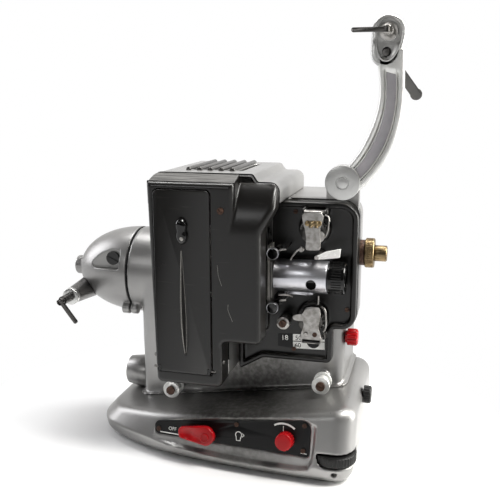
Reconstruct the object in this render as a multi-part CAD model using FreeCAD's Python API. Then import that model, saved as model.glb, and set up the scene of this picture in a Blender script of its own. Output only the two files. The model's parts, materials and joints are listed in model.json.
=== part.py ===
import FreeCAD, Part
import math
import os

# Cine projector for eight millimetre film, in millimetres.
# The model is drawn about the lens: x runs along the optical axis towards the screen, z is up,
# and the reels face the operator at -y. x = 0 is the front rim of the lens tube, y = 0 the middle
# of the film and z = 0 the optical axis. save() then moves every piece so that the origin lies on
# the table, under the middle of the machine.

V = FreeCAD.Vector
AXES = {"x": V(1, 0, 0), "y": V(0, 1, 0), "z": V(0, 0, 1)}
NORMALS = {"xz": AXES["y"], "yz": AXES["x"], "xy": AXES["z"]}

# General sizes
AXIS_HEIGHT = 155.0          # optical axis above the table
TABLE = -AXIS_HEIGHT
REEL_HALF = 6.5              # half the width of a reel, on both sides of the film
SHAFT_GAP = 0.05             # radial clearance of a turning shaft in its hole
SEAT_GAP = 0.3               # clearance of a fixed piece in its seat
MOVE_GAP = 0.4               # clearance between pieces that move past each other
SCREW_R = 1.9                # head radius of the small slotted screws
SCREW_SLOT = 0.6             # width of their slots
SCREW_HEAD = 1.1             # height of their heads

# Base casting
BASE_RIGHT = 29.0
BASE_FRONT = -50.0
BASE_BACK = 97.0
BASE_TOP = TABLE + 54.5      # height of the top face at x = 0
BASE_SLOPE = 8.6             # degrees by which the top falls to the left
BASE_WALL = 3.0
BASE_FRONT_X = -11.0         # where the straight front begins to curve back
FRONT_ARCS = ((728.0, 7.9), (206.0, 22.1), (38.0, 60.0))
BACK_LEFT_R = 22.0
BACK_RIGHT_R = 18.0
FRONT_RIGHT_R = 17.0
RIM_Z = TABLE + 2.5          # lower rim
BELLY_Z = RIM_Z + 11.5       # height of the widest section
RIM_TUCK = 4.5               # how far the lower rim is drawn in
FRONT_LEAN = 16.0            # how far the front leans back from the belly to LEAN_TOP_Z
LEFT_LEAN = 40.0
LEAN_TOP_Z = BELLY_Z + 45.0
BASE_EDGE_R = 10.0
PLATE_SEAT = 6.0             # width of the rim that frames the base plate
BASE_PLATE = 1.6
FOOT_R = 9.0
FEET = ((-163.0, -8.0), (-178.0, 72.0), (4.0, 72.0))
BASE_HOLE = (14.7, TABLE + 9.8)  # a small hole low in the front, under the tilt wheel

# Control panel on the sloping front of the base
PANEL_POINT = V(-10, -41.5, TABLE + 18.6)
PANEL_LEAN = 12.0
PANEL_TURN = -3.5
PANEL_LEFT = -130.0
PANEL_RIGHT = 4.0
PANEL_TALL = 29.0
PANEL_SHORT = 10.5
PANEL_THICK = 1.5
PANEL_SCREWS = ((-126.2, 4.4), (-57.5, 17.5), (-1.0, 24.5), (-1.0, 4.6))
SWITCH_AT = (-81.6, 5.4)
SWITCH_R = 5.6
KNOB_AT = (-15.4, 11.4)
KNOB_R = 7.0
KNOB_LONG = 9.6
STEM_R = 2.6

# Tilting foot
TILT_AT = (12.8, -32.4)
TILT_WHEEL_R = 17.4
TILT_WHEEL = 7.6
TILT_WHEEL_Z = TABLE + 16.0
TILT_SCREW_TOP = TILT_WHEEL_Z + 22.5
TILT_SCREW_R = 4.0
TILT_FOOT_R = 7.0

# Upright, motor barrel and gear housing
BODY_FRONT = 17.0
BODY_BACK = 97.0
BODY_LEFT = -172.5
BODY_RIGHT = 12.0
BODY_WALL = 4.0
BODY_FOOT = BASE_TOP - 40.0  # below the base's sloping top, which trims the upright
FLANGE = 1.5                 # height of the foot flange
FLANGE_WIDE = 4.0
BARREL_Z = -17.5
BARREL_LEFT = -184.5
HOUSING_LEFT = -56.0
HOUSING_RIGHT = 21.5
HOUSING_TOP = 60.5
HOUSING_FOOT = -46.0
HOUSING_DEPTH = 30.0
REAR_RIGHT = 6.0
GASKET = 1.0
BACK_COVER = 2.5
COVER_LEFT = -165.0          # left and right ends of the back cover
COVER_END = 2.0

# Motor
DOME_LONG = 61.0
DOME_WALL = 3.0
DOME_TIP_R = 9.0
DOME_TIP = 6.0
LUG_R = 5.0
LUG_Z = -48.0
LUG_YS = (27.3, 86.7)
POCKET_X = (-222.0, -192.3)
POCKET_Z = (-11.0, 7.0)
POCKET_Y = 27.0
BRUSH_AT = (-200.6, -1.6)
BRUSH_R = 6.2
ROTOR_R = 23.0
FAN_R = 33.0
MOTOR_SHAFT_R = 3.0
MOTOR_PULLEY_R = 4.4
SHUTTER_PULLEY_R = 8.8
BELT_SINK = 0.6             # depth of the belt below the nominal pulley radius
COMMUTATOR_R = 10.0
PULLEY_X = (-30.0, -24.0)
BELT_THICK = 1.6

# Drive shaft, shutter and the coupling at the right
COUPLING_AT = (30.0, 15.4)
DRIVE_SHAFT_R = 3.5
SHAFT_LEFT = -54.0
STUB_R = 6.6
STUB_END = 43.5
BUSH_R = 10.6
BUSH_LONG = 4.0
NUT_R = 12.2
NUT_LONG = 7.4
SHUTTER_R = 38.0
SHUTTER_X = -51.0

# Lamp house and its front cover
CASE_LEFT = -138.0
CASE_LEFT_FOOT = -134.0
CASE_FOOT = -87.5
CASE_STEP_X = -78.0          # right side of the lower box
CASE_STEP_Z = -48.5
CASE_TOP = 83.0
HUMP_RIGHT = -36.5
HUMP_TOP = 77.0
SEAM_Y = -20.0
CASE_BACK = 88.0
CASE_WALL = 2.6
COVER_FRONT = -40.0
COVER_RIGHT = -46.5
COVER_BOX_RIGHT = -67.5
COVER_BOX_TOP = 76.3
CURVE_R = 50.0               # backward curve of the cover over the gate
COVER_SCREW = (-77.4, 56.9)
LOUVRES = 5
LOUVRE_X = -116.4
LOUVRE_PITCH = 9.2
LOUVRE_Y = (0.0, 70.0)
LAMP_X = -100.0

# Lamp door, hinged at its foot
DOOR_X = (-132.0, -86.0)
DOOR_Z = (-76.5, 72.0)
HINGE_Z = -73.5
HINGE_Y = -39.0
HINGE_PIN_R = 1.2
LATCH_AT = (-107.8, 40.5)
LATCH_LOBE_R = 5.2
FIN_FOOT = (-107.2, -62.5)   # the leaf-shaped fin of the door, in x and z
FIN_HEAD = (-109.2, 28.4)
FIN_HALF = 3.4
FIN_HIGH = 6.0

# Mechanism plate
PLATE_FACE = 14.0
PLATE_RIM = 9.5
PLATE_RIM_WIDE = 4.0
PLATE_TOP = 58.5
PLATE_STEP = -46.5
PLATE_STEP_X = 2.7
PLATE_FOOT = -77.0

# Lens and gate
TUBE_R = 13.2
TUBE_LEFT = -43.0
BARREL_R = 10.9
RING_R = 13.1
RING_X = (0.6, 14.0)
TUBE_HOLE = (-12.0, -3.8)
TUBE_HOLE_R = 4.2
FILM_X = -46.0
GATE_THICK = 2.4
GATE_HALF = 8.0
GATE_Z = (-31.0, 25.0)
LEVER_PIVOT = (-8.0, 18.2)

# Sprockets and their guards
UPPER_SPROCKET = (-13.0, 37.5)
LOWER_SPROCKET = (-13.5, -37.0)
SPROCKET_R = 9.7
SPROCKET_HALF = 4.3
SPROCKET_TEETH = 16
SPROCKET_BOSS_R = 12.4
GUARD_HINGE_Y = 4.0
GUARD_HINGE_R = 2.2
GUARD_PIN_R = 1.2
GUARD_FRONT = -8.6
GUARD_REACH = 14.6           # hinge axis above or below the sprocket axis
GUARD_X = (-20.0, -4.6)
UPPER_HINGE_Z = UPPER_SPROCKET[1] + GUARD_REACH
LOWER_HINGE_Z = LOWER_SPROCKET[1] - GUARD_REACH
PLATE_SCREWS = ((-30.0, 50.0), (14.0, -30.0), (-30.0, -68.0))

# Rollers
GATE_ROLLER_X = -43.3
GATE_ROLLER_Z = (19.5, -25.5)
GATE_ROLLER_R = 4.6
LOOP_ROLLER = (-35.6, -39.5)
LOOP_ROLLER_R = 5.4
PATH_ROLLERS = {"right": (-3.5, BASE_TOP + 9.9), "left": (-134.6, BASE_TOP - 8.1)}
PATH_ROLLER_R = 7.5
PATH_CORE_R = 5.0
AXLE_R = 2.0

# Supply arm
PIVOT_AT = (8.3, 75.4)
PIVOT_R = 13.8
ARM_FRONT = 7.4
ARM_BACK = 14.4
PIVOT_FRONT = 5.0
SPINDLE_AT = (39.3, 188.3)
HEAD_R = 12.6
HEAD_FOOT_R = 11.2
HEAD_BACK = 22.4
GEAR_CENTRES = 15.0
GEAR_LINE = 83.5             # direction from the crank axis to the spindle, degrees
CRANK_AT = (SPINDLE_AT[0] - GEAR_CENTRES * math.cos(math.radians(GEAR_LINE)),
            SPINDLE_AT[1] - GEAR_CENTRES * math.sin(math.radians(GEAR_LINE)))
ARM_LEFT_EDGE = ((9.0, 84.0), (14.0, 91.0), (20.2, 99.8), (28.0, 115.9), (33.2, 133.8), (33.8, 150.3),
                 (31.6, 165.7), (28.1, 177.9), (28.2, 189.8))
ARM_RIGHT_EDGE = ((20.5, 69.0), (25.5, 73.0), (35.8, 85.0), (44.7, 100.3), (50.2, 119.3), (52.4, 140.0),
                  (51.9, 162.4), (51.7, 176.0), (51.7, 188.3))
CRANK_TEETH = 21
SPINDLE_TEETH = 15
CRANK_KNOB_AT = (60.4, 143.0)
CRANK_KNOB_R = 4.5
CRANK_Y = (25.6, 28.6)
CRANK_HALF = 3.8             # half the width of the crank bar
CRANK_KNOB_END = 40.0
ARM_RIB = 3.2
ARM_CHANNEL = 1.4

# Reel spindles and their flip latches
SPINDLE_R = 3.9
SPINDLE_TIP = -12.4
SPINDLE_TIP_R = 3.4          # forked end and neck, thinner than the seat of the reel
LATCH_Y = -10.0
LATCH_WIDE = 3.4
LATCH_THICK = 2.4
LATCH_PIN_R = 0.9
UPPER_LATCH_LONG = 25.5
TAKE_UP_LATCH_LONG = 23.5
TAKE_UP_LATCH_ANGLE = -127.3  # turn about y from pointing left to hanging down to the right
TAKE_UP_AT = (-235.0, -35.0)
TAKE_UP_ROOT = 46.0
TAKE_UP_ROOT_R = 10.6
TAKE_UP_TIP_R = 7.4
COLLAR_R = 7.7
COLLAR_BACK = 11.0

# Controls at the right and the mains inlet
FRAMING_AT = (25.0, -57.0)
FRAMING_R = 7.2
FRAMING_X = (13.6, 22.8)
END_KNOB_AT = (22.0, TABLE + 49.0)
END_KNOB_R = 7.4
END_KNOB_LONG = 6.4
INLET_AT = (40.0, TABLE + 42.0)
INLET_R = 15.8
INLET_LEFT = -198.0

BARREL_R_OUT = (BODY_BACK - BODY_FRONT) / 2
BARREL_Y = (BODY_BACK + BODY_FRONT) / 2
DOME_RIGHT = BARREL_LEFT - GASKET
DOME_END = DOME_RIGHT - DOME_LONG - DOME_TIP
ORIGIN = V((DOME_END + CRANK_KNOB_AT[0] + CRANK_KNOB_R) / 2,
           (BASE_FRONT + BODY_BACK + BACK_COVER + SCREW_HEAD) / 2, TABLE)


# Drawing helpers

def centred(axis, centre, along):
    """The point at along on an axis whose other two coordinates are centre."""
    first, second = centre
    return {"x": V(along, first, second), "y": V(first, along, second), "z": V(first, second, along)}[axis]


def grown(span, by):
    return span[0] - by, span[1] + by


def box(x, y, z):
    """A block between the two values of each pair."""
    return Part.makeBox(x[1] - x[0], y[1] - y[0], z[1] - z[0], V(x[0], y[0], z[0]))


def rod(axis, centre, radius, span):
    return Part.makeCylinder(radius, span[1] - span[0], centred(axis, centre, span[0]), AXES[axis])


def ring(axis, centre, outer, inner, span):
    return rod(axis, centre, outer, span).cut(rod(axis, centre, inner, grown(span, 1)))


def cone(axis, centre, radii, span):
    return Part.makeCone(radii[0], radii[1], span[1] - span[0], centred(axis, centre, span[0]), AXES[axis])


def turned(axis, centre, profile):
    """A solid of revolution from (along, radius) points."""
    side = AXES["z"] if axis != "z" else AXES["x"]
    points = [centred(axis, centre, along) + side * radius for along, radius in profile]
    face = Part.Face(Part.makePolygon(points + points[:1]))
    return face.revolve(centred(axis, centre, 0), AXES[axis], 360)


def at(plane, u, v, level):
    return {"xz": V(u, level, v), "yz": V(level, u, v), "xy": V(u, v, level)}[plane]


def rounded_wire(corners, plane, level):
    """A closed wire through (u, v, radius) corners, each rounded by its radius."""
    stations = []
    for i, (u, v, radius) in enumerate(corners):
        here = V(u, v, 0)
        back = V(corners[i - 1][0], corners[i - 1][1], 0) - here
        ahead = V(corners[(i + 1) % len(corners)][0], corners[(i + 1) % len(corners)][1], 0) - here
        back.normalize()
        ahead.normalize()
        half = back.getAngle(ahead) / 2
        reach = radius / math.tan(half)
        inward = (back + ahead).normalize()
        middle = here + inward * (radius / math.sin(half) - radius)
        stations.append((here + back * reach, middle, here + ahead * reach))
    edges = []
    for i, (start, middle, end) in enumerate(stations):
        following = stations[(i + 1) % len(stations)][0]
        start, middle, end, following = (at(plane, point.x, point.y, level)
                                         for point in (start, middle, end, following))
        if start.distanceToPoint(end) > 1e-6:
            edges.append(Part.Arc(start, middle, end).toShape())
        if end.distanceToPoint(following) > 1e-6:
            edges.append(Part.LineSegment(end, following).toShape())
    return Part.Wire(edges)


def slab(corners, plane, span):
    """A plate with a rounded outline, between two levels."""
    face = Part.Face(rounded_wire(corners, plane, span[0]))
    return face.extrude(NORMALS[plane] * (span[1] - span[0]))


def frame_corners(u, v, radius):
    return [(u[0], v[0], radius), (u[1], v[0], radius), (u[1], v[1], radius), (u[0], v[1], radius)]


def flat(axis, level):
    """Picks the edges that lie in one plane."""
    def chosen(edge):
        bounds = edge.BoundBox
        low, high = {"x": (bounds.XMin, bounds.XMax), "y": (bounds.YMin, bounds.YMax),
                     "z": (bounds.ZMin, bounds.ZMax)}[axis]
        return abs(low - level) < 0.02 and abs(high - level) < 0.02
    return chosen


def rounded(shape, radius, chosen):
    return shape.makeFillet(radius, [edge for edge in shape.Edges if chosen(edge)])


def bevelled(shape, size, chosen):
    return shape.makeChamfer(size, [edge for edge in shape.Edges if chosen(edge)])


def joined(first, *others):
    return first.fuse(list(others)).removeSplitter()


def hull(axis, first, first_r, second, second_r, span):
    """A plate round two circles and the tangents between them."""
    du, dv = second[0] - first[0], second[1] - first[1]
    line = math.atan2(dv, du)
    lean = math.acos((first_r - second_r) / math.hypot(du, dv))
    points = [(centre[0] + radius * math.cos(line + turn), centre[1] + radius * math.sin(line + turn))
              for centre, radius, turn in ((first, first_r, lean), (first, first_r, -lean),
                                           (second, second_r, -lean), (second, second_r, lean))]
    web = Part.Face(Part.makePolygon([centred(axis, point, span[0]) for point in points + points[:1]]))
    return joined(rod(axis, first, first_r, span), rod(axis, second, second_r, span),
                  web.extrude(AXES[axis] * (span[1] - span[0])))


def turned_about(shape, point, axis, degrees):
    copy = shape.copy()
    copy.rotate(point, axis, degrees)
    return copy


def slotted_screw(axis, centre, head, radius, length, slot_turn):
    """A screw whose head ends at head; a negative length points the shank to the other side."""
    inner = head + math.copysign(SCREW_HEAD, length)
    body = rod(axis, centre, radius, tuple(sorted((head, inner))))
    shank = rod(axis, centre, radius * 0.55, tuple(sorted((inner, head + length))))
    slot_floor = head + math.copysign(0.5, length)
    depth = sorted((head - math.copysign(0.5, length), slot_floor))
    half = SCREW_SLOT / 2
    if axis == "y":
        slot = box((-radius, radius), depth, (-half, half))
        slot.translate(V(centre[0], 0, centre[1]))
    elif axis == "x":
        slot = box(depth, (-radius, radius), (-half, half))
        slot.translate(V(0, centre[0], centre[1]))
    else:
        slot = box((-radius, radius), (-half, half), depth)
        slot.translate(V(centre[0], centre[1], 0))
    slot.rotate(centred(axis, centre, head), AXES[axis], slot_turn)
    return joined(body, shank).cut(slot)


def save(name, *solids):
    """Writes one node, moved from the lens to the origin on the table."""
    shape = solids[0].copy() if len(solids) == 1 else Part.makeCompound([s.copy() for s in solids])
    shape.translate(V(0, 0, 0) - ORIGIN)
    shape.exportStep(os.path.join("parts", name + ".step"))


# Base

def base_wire(level, inset, front_lean, left_lean):
    """The plan of the base at one height, drawn in by inset and leaning at the front and left."""
    radii = [radius - inset for radius, angle in FRONT_ARCS]
    angles = [math.radians(angle) for radius, angle in FRONT_ARCS]
    radii[0] -= left_lean / math.sin(angles[0])
    heading = math.pi
    place = V(BASE_FRONT_X, BASE_FRONT + inset + front_lean, level)
    edges = []

    def forward(length):
        nonlocal place
        ahead = place + V(math.cos(heading), math.sin(heading), 0) * length
        edges.append(Part.LineSegment(place, ahead).toShape())
        place = ahead

    def bend(radius, angle):
        nonlocal place, heading
        centre = place + V(math.sin(heading), -math.cos(heading), 0) * radius
        points = [centre + V(-math.sin(heading - turn), math.cos(heading - turn), 0) * radius
                  for turn in (0, angle / 2, angle)]
        edges.append(Part.Arc(*points).toShape())
        place, heading = points[2], heading - angle

    for radius, angle in zip(radii, angles):
        bend(radius, angle)
    forward(BASE_BACK - BACK_LEFT_R - place.y)
    bend(BACK_LEFT_R - inset, math.pi / 2)
    forward(BASE_RIGHT - BACK_RIGHT_R - place.x)
    bend(BACK_RIGHT_R - inset, math.pi / 2)
    forward(place.y - (BASE_FRONT + front_lean + FRONT_RIGHT_R))
    bend(FRONT_RIGHT_R - inset, math.pi / 2)
    forward(place.x - BASE_FRONT_X)
    return Part.Wire(edges)


def sloping_block(offset, z_top):
    """Everything above the base's sloping top, moved up by offset."""
    size = 700
    block = Part.makeBox(size, size, z_top, V(-size * 0.85, -size / 2, 0))
    block.rotate(V(0, 0, 0), V(0, 1, 0), -BASE_SLOPE)
    block.translate(V(0, 0, BASE_TOP + offset))
    return block


def base_top_at(x):
    return BASE_TOP + x * math.tan(math.radians(BASE_SLOPE))


def topped(sections, drop, radius):
    """A loft under the sloping top, lowered by drop, with the edge round that top rounded."""
    body = Part.makeLoft(sections, True, True).cut(sloping_block(-drop, 200))
    top = [edge for edge in body.Edges
           if abs(edge.BoundBox.Center.z - base_top_at(edge.BoundBox.Center.x) + drop) < 1.5]
    return body.makeFillet(radius, top)


def base_outer():
    sections = [base_wire(RIM_Z, RIM_TUCK, 0, 0),
                base_wire(RIM_Z + 4.5, 1.3, 0, 0),
                base_wire(BELLY_Z, 0, 0, 0),
                base_wire(LEAN_TOP_Z, 0, FRONT_LEAN, LEFT_LEAN)]
    return topped(sections, 0, BASE_EDGE_R)


def base_inner(wall):
    sections = [base_wire(RIM_Z + 5, wall, 0, 0),
                base_wire(BELLY_Z, wall, 0, 0),
                base_wire(LEAN_TOP_Z, wall, FRONT_LEAN, LEFT_LEAN)]
    return topped(sections, wall, BASE_EDGE_R - wall)


def on_panel(shape):
    """Moves a piece from the panel's own frame, face in y = 0, to its place on the base."""
    copy = shape.copy()
    copy.rotate(V(0, 0, 0), V(1, 0, 0), -PANEL_LEAN)
    copy.rotate(V(0, 0, 0), V(0, 0, 1), PANEL_TURN)
    copy.translate(PANEL_POINT)
    return copy


def panel_corners(grow):
    return [(PANEL_LEFT - grow, -grow, 4.5), (PANEL_RIGHT + grow, -grow, 3.0),
            (PANEL_RIGHT + grow, PANEL_TALL + grow, 7.0), (PANEL_LEFT - grow, PANEL_SHORT + grow, 4.5)]


def base_casting():
    outer = base_outer()
    seat = prism(base_wire(RIM_Z - 1, RIM_TUCK + 3, 0, 0), BASE_PLATE + 1)
    ledge = prism(base_wire(RIM_Z - 1, RIM_TUCK + PLATE_SEAT, 0, 0), 8)
    hollow = base_inner(BASE_WALL).fuse([seat, ledge])
    pad = on_panel(slab(panel_corners(10), "xz", (-14, PANEL_THICK + 3)))
    shelf = box((0, 28.5), (-46.5, -18), (TILT_WHEEL_Z + TILT_WHEEL + 1, TILT_SCREW_TOP + 0.5))
    lower = box((0, 28.5), (-46.5, -18), (RIM_Z + 5, TILT_WHEEL_Z - 1))
    body = outer.cut(hollow).fuse([block.common(outer) for block in (pad, shelf, lower)])
    body = body.cut(panel_recess()).cut(tilt_space())
    for centre in (SWITCH_AT, KNOB_AT):
        body = body.cut(on_panel(rod("y", centre, 5, (-1, 20))))
    for u, v in PANEL_SCREWS:
        body = body.cut(on_panel(rod("y", (u, v), SCREW_R * 0.55 + SHAFT_GAP, (-1, PANEL_THICK + 2.4))))
    body = body.cut(rod("y", BASE_HOLE, 2.2, (BASE_FRONT - 10, BASE_FRONT + 7)))
    body = body.cut(rod("x", END_KNOB_AT, 3 + SHAFT_GAP, (BASE_RIGHT - 8, BASE_RIGHT + 1)))
    return body


def prism(wire, height):
    return Part.Face(wire).extrude(V(0, 0, height))


def panel_recess():
    floor = panel_corners(SEAT_GAP)
    left, bottom, top_left, top_right, right = (PANEL_LEFT - 5, -10.5, PANEL_SHORT + 8, PANEL_TALL + 8,
                                                PANEL_RIGHT + 9)
    mouth = [(left, bottom, 8), (right, bottom, 8), (right, top_right, 10), (left, top_left, 8)]
    splay = Part.makeLoft([rounded_wire(floor, "xz", 0), rounded_wire(mouth, "xz", -12)], True, True)
    return on_panel(splay.fuse(slab(floor, "xz", (-0.5, PANEL_THICK))))


def tilt_space():
    """The round pocket of the tilt wheel, the bore of its screw and the room for the foot."""
    pocket = rod("z", TILT_AT, TILT_WHEEL_R + 1.2, (TILT_WHEEL_Z - 1, TILT_WHEEL_Z + TILT_WHEEL + 1))
    bore = rod("z", TILT_AT, TILT_SCREW_R + SHAFT_GAP, (RIM_Z - 5, TILT_SCREW_TOP + 4.5))
    foot = rod("z", TILT_AT, TILT_FOOT_R + 1, (RIM_Z - 5, RIM_Z + 3.2))
    return pocket.fuse([bore, foot])


def base_plate():
    plate = prism(base_wire(RIM_Z, RIM_TUCK + 3 + SEAT_GAP, 0, 0), BASE_PLATE)
    plate = plate.cut(rod("z", TILT_AT, TILT_FOOT_R + 1, (RIM_Z - 1, RIM_Z + 3)))
    for i in range(7):
        x = -120 + i * 11
        plate = plate.cut(slab(frame_corners((x, x + 3.6), (20, 60), 1.7), "xy", (RIM_Z - 1, RIM_Z + 3)))
    return plate


def rubber_feet():
    return [rounded(rod("z", at_foot, FOOT_R, (TABLE, RIM_Z)), 0.8, flat("z", TABLE))
            for at_foot in FEET]


def control_panel():
    plate = slab(panel_corners(0), "xz", (0, PANEL_THICK))
    for centre in (SWITCH_AT, KNOB_AT):
        plate = plate.cut(rod("y", centre, STEM_R + SHAFT_GAP, (-1, 5)))
    for u, v in PANEL_SCREWS:
        plate = plate.cut(rod("y", (u, v), SCREW_R * 0.55 + SHAFT_GAP, (-1, 5)))
    return on_panel(plate)


def panel_screws():
    return [on_panel(slotted_screw("y", (u, v), -SCREW_HEAD, SCREW_R, 4.2, turn))
            for (u, v), turn in zip(PANEL_SCREWS, (20, -35, 65, 5))]


def switch_lever():
    u, v = SWITCH_AT
    outline = [(u - 23.4, v + 5.4, 3.6), (u + 2.6, v + 9.6, 7.4), (u + 11, v + 1, 6.8),
               (u + 3.4, v - 7.2, 7.4), (u - 22.6, v - 3.2, 3.6)]
    blade = slab(outline, "xz", (-10.2, -5.8))
    blade = rounded(blade, 1.4, flat("y", -10.2))
    scoop = Part.makeSphere(14, V(u - 15, -10.2 - 12.6, v + 1.5))
    hub = rod("y", SWITCH_AT, SWITCH_R, (-6, -MOVE_GAP))
    stem = rod("y", SWITCH_AT, STEM_R, (-2, 12))
    return on_panel(joined(blade.cut(scoop), hub, stem))


def speed_knob():
    knob = rounded(rod("y", KNOB_AT, KNOB_R, (-KNOB_LONG, -MOVE_GAP)), 1.5, flat("y", -KNOB_LONG))
    for i in range(18):
        groove = rod("y", (KNOB_AT[0] + KNOB_R + 0.3, KNOB_AT[1]), 0.7, (-KNOB_LONG - 1, -2))
        knob = knob.cut(turned_about(groove, V(KNOB_AT[0], 0, KNOB_AT[1]), V(0, 1, 0), i * 20))
    return on_panel(joined(knob, rod("y", KNOB_AT, STEM_R, (-2, 12))))


def tilt_wheel():
    span = (TILT_WHEEL_Z, TILT_WHEEL_Z + TILT_WHEEL)
    wheel = rod("z", TILT_AT, TILT_WHEEL_R, span)
    wheel = bevelled(wheel, 0.7, lambda edge: flat("z", span[0])(edge) or flat("z", span[1])(edge))
    centre = V(TILT_AT[0], TILT_AT[1], 0)
    for i in range(40):
        groove = rod("z", (TILT_AT[0] + TILT_WHEEL_R + 0.35, TILT_AT[1]), 0.9, (span[0] - 1, span[1] + 1))
        wheel = wheel.cut(turned_about(groove, centre, V(0, 0, 1), i * 9))
    return wheel.cut(rod("z", TILT_AT, TILT_SCREW_R + SHAFT_GAP, (span[0] - 1, span[1] + 1)))


def tilt_screw():
    foot = rod("z", TILT_AT, TILT_FOOT_R, (TABLE, RIM_Z + 1))
    foot = rounded(foot, 1.0, flat("z", TABLE))
    return joined(foot, rod("z", TILT_AT, TILT_SCREW_R, (RIM_Z, TILT_SCREW_TOP)))


def end_knob():
    face = BASE_RIGHT + MOVE_GAP + END_KNOB_LONG
    knob = rod("x", END_KNOB_AT, END_KNOB_R, (BASE_RIGHT + MOVE_GAP, face))
    knob = rounded(knob, 1.6, flat("x", face))
    for i in range(16):
        groove = rod("x", (END_KNOB_AT[0], END_KNOB_AT[1] + END_KNOB_R + 0.3), 0.8,
                     (BASE_RIGHT + 1.5, face + 1))
        knob = knob.cut(turned_about(groove, centred("x", END_KNOB_AT, 0), V(1, 0, 0), i * 22.5))
    return joined(knob, rod("x", END_KNOB_AT, 3, (BASE_RIGHT - 8, BASE_RIGHT + 1)))


def upright_plan(inset):
    left, right, front, back = (BODY_LEFT + inset, BODY_RIGHT - inset, BODY_FRONT + inset, BODY_BACK - inset)
    return [(left, front, 10 - inset), (right, front, 8 - inset), (right, back, 8 - inset),
            (left, back, 10 - inset)]


def housing_corners(inset):
    left, right, top, foot = (HOUSING_LEFT + inset, HOUSING_RIGHT - inset, HOUSING_TOP - inset,
                              HOUSING_FOOT + inset)
    return [(left, top, 2), (right, top, 14 - inset), (right, foot, 12 - inset), (left, foot, 2)]


def body_envelope():
    """The outside of the casting above the base, also used to cut the pieces that lie against it."""
    upright = slab(upright_plan(0), "xy", (BODY_FOOT, BARREL_Z))
    barrel = rod("x", (BARREL_Y, BARREL_Z), BARREL_R_OUT, (BARREL_LEFT, HOUSING_LEFT + 1))
    front = slab(housing_corners(0), "xz", (BODY_FRONT, BODY_FRONT + HOUSING_DEPTH))
    rear = slab(frame_corners((HOUSING_LEFT, REAR_RIGHT), (HOUSING_FOOT, HOUSING_TOP), 2), "xz",
                (BODY_FRONT + HOUSING_DEPTH - 5, BODY_BACK))
    return upright, barrel, front, rear


def foot_flange():
    """The flange by which the upright stands on the base."""
    wide = FLANGE_WIDE
    corners = [(BODY_LEFT - wide, BODY_FRONT - wide, 13), (BODY_RIGHT + wide, BODY_FRONT - wide, 11),
               (BODY_RIGHT + wide, BODY_BACK - 2, 8), (BODY_LEFT - wide, BODY_BACK - 2, 10)]
    return slab(corners, "xy", (BODY_FOOT, BASE_TOP + 20)).cut(sloping_block(FLANGE, 200))


def cover_outline(inset):
    left, right, top, step_x, step_z = (COVER_LEFT + inset, COVER_END - inset, 52 - inset, -48 + inset,
                                        -26 - inset)
    foot_left, foot_right = (base_top_at(x) + 7 + inset for x in (COVER_LEFT, COVER_END))
    return [(left, foot_left, 4), (right, foot_right, 4), (right, top, 5), (step_x, top, 5),
            (step_x, step_z, 4), (left, step_z, 4)]


def cover_screws():
    """Places of the screws that hold the back cover, in x and z."""
    left, right = COVER_LEFT + 4, COVER_END - 3.5
    return [(left, -29.5), (-51, -29.5), (-44.5, 48.5), (right, 48.5), (right, -20),
            (right, BASE_TOP + 10.5), (left, BASE_TOP - 14.5)]


def body_casting():
    upright, barrel, front, rear = body_envelope()
    lug = [rod("x", (y, LUG_Z), LUG_R, (BARREL_LEFT, BARREL_LEFT + 7)) for y in LUG_YS]
    posts = [cone("y", centre, (3.4, 4.6), (7.4, BODY_FRONT + 1)) for centre in PATH_ROLLERS.values()]
    body = upright.fuse([barrel, front, rear, foot_flange()] + lug + posts)
    body = body.common(sloping_block(0, 400))
    wall = BODY_WALL
    hollows = [slab(upright_plan(wall), "xy", (BODY_FOOT - 10, BARREL_Z - wall)),
               rod("x", (BARREL_Y, BARREL_Z), BARREL_R_OUT - wall, (BARREL_LEFT - 1, HOUSING_LEFT - 4)),
               box((HOUSING_LEFT + 3, HOUSING_RIGHT - wall),
                   (BODY_FRONT + wall, BODY_FRONT + HOUSING_DEPTH - wall),
                   (HOUSING_FOOT + wall, HOUSING_TOP - wall - 5)),
               box((HOUSING_LEFT + 3, REAR_RIGHT - wall), (BODY_FRONT + wall, BODY_BACK - wall),
                   (HOUSING_FOOT + wall, HOUSING_TOP - wall)),
               slab(cover_outline(6), "xz", (BODY_BACK - wall - 2, BODY_BACK + 1))]
    web = box((HOUSING_LEFT - 4, HOUSING_LEFT + 3), (BODY_FRONT + 1, BODY_BACK - 8), (-60, HOUSING_TOP - 1))
    web = web.common(joined(upright, barrel, front, rear))
    body = body.cut(hollows[0].fuse(hollows[1:])).fuse(web)
    return body.cut(body_bores()).removeSplitter()


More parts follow.
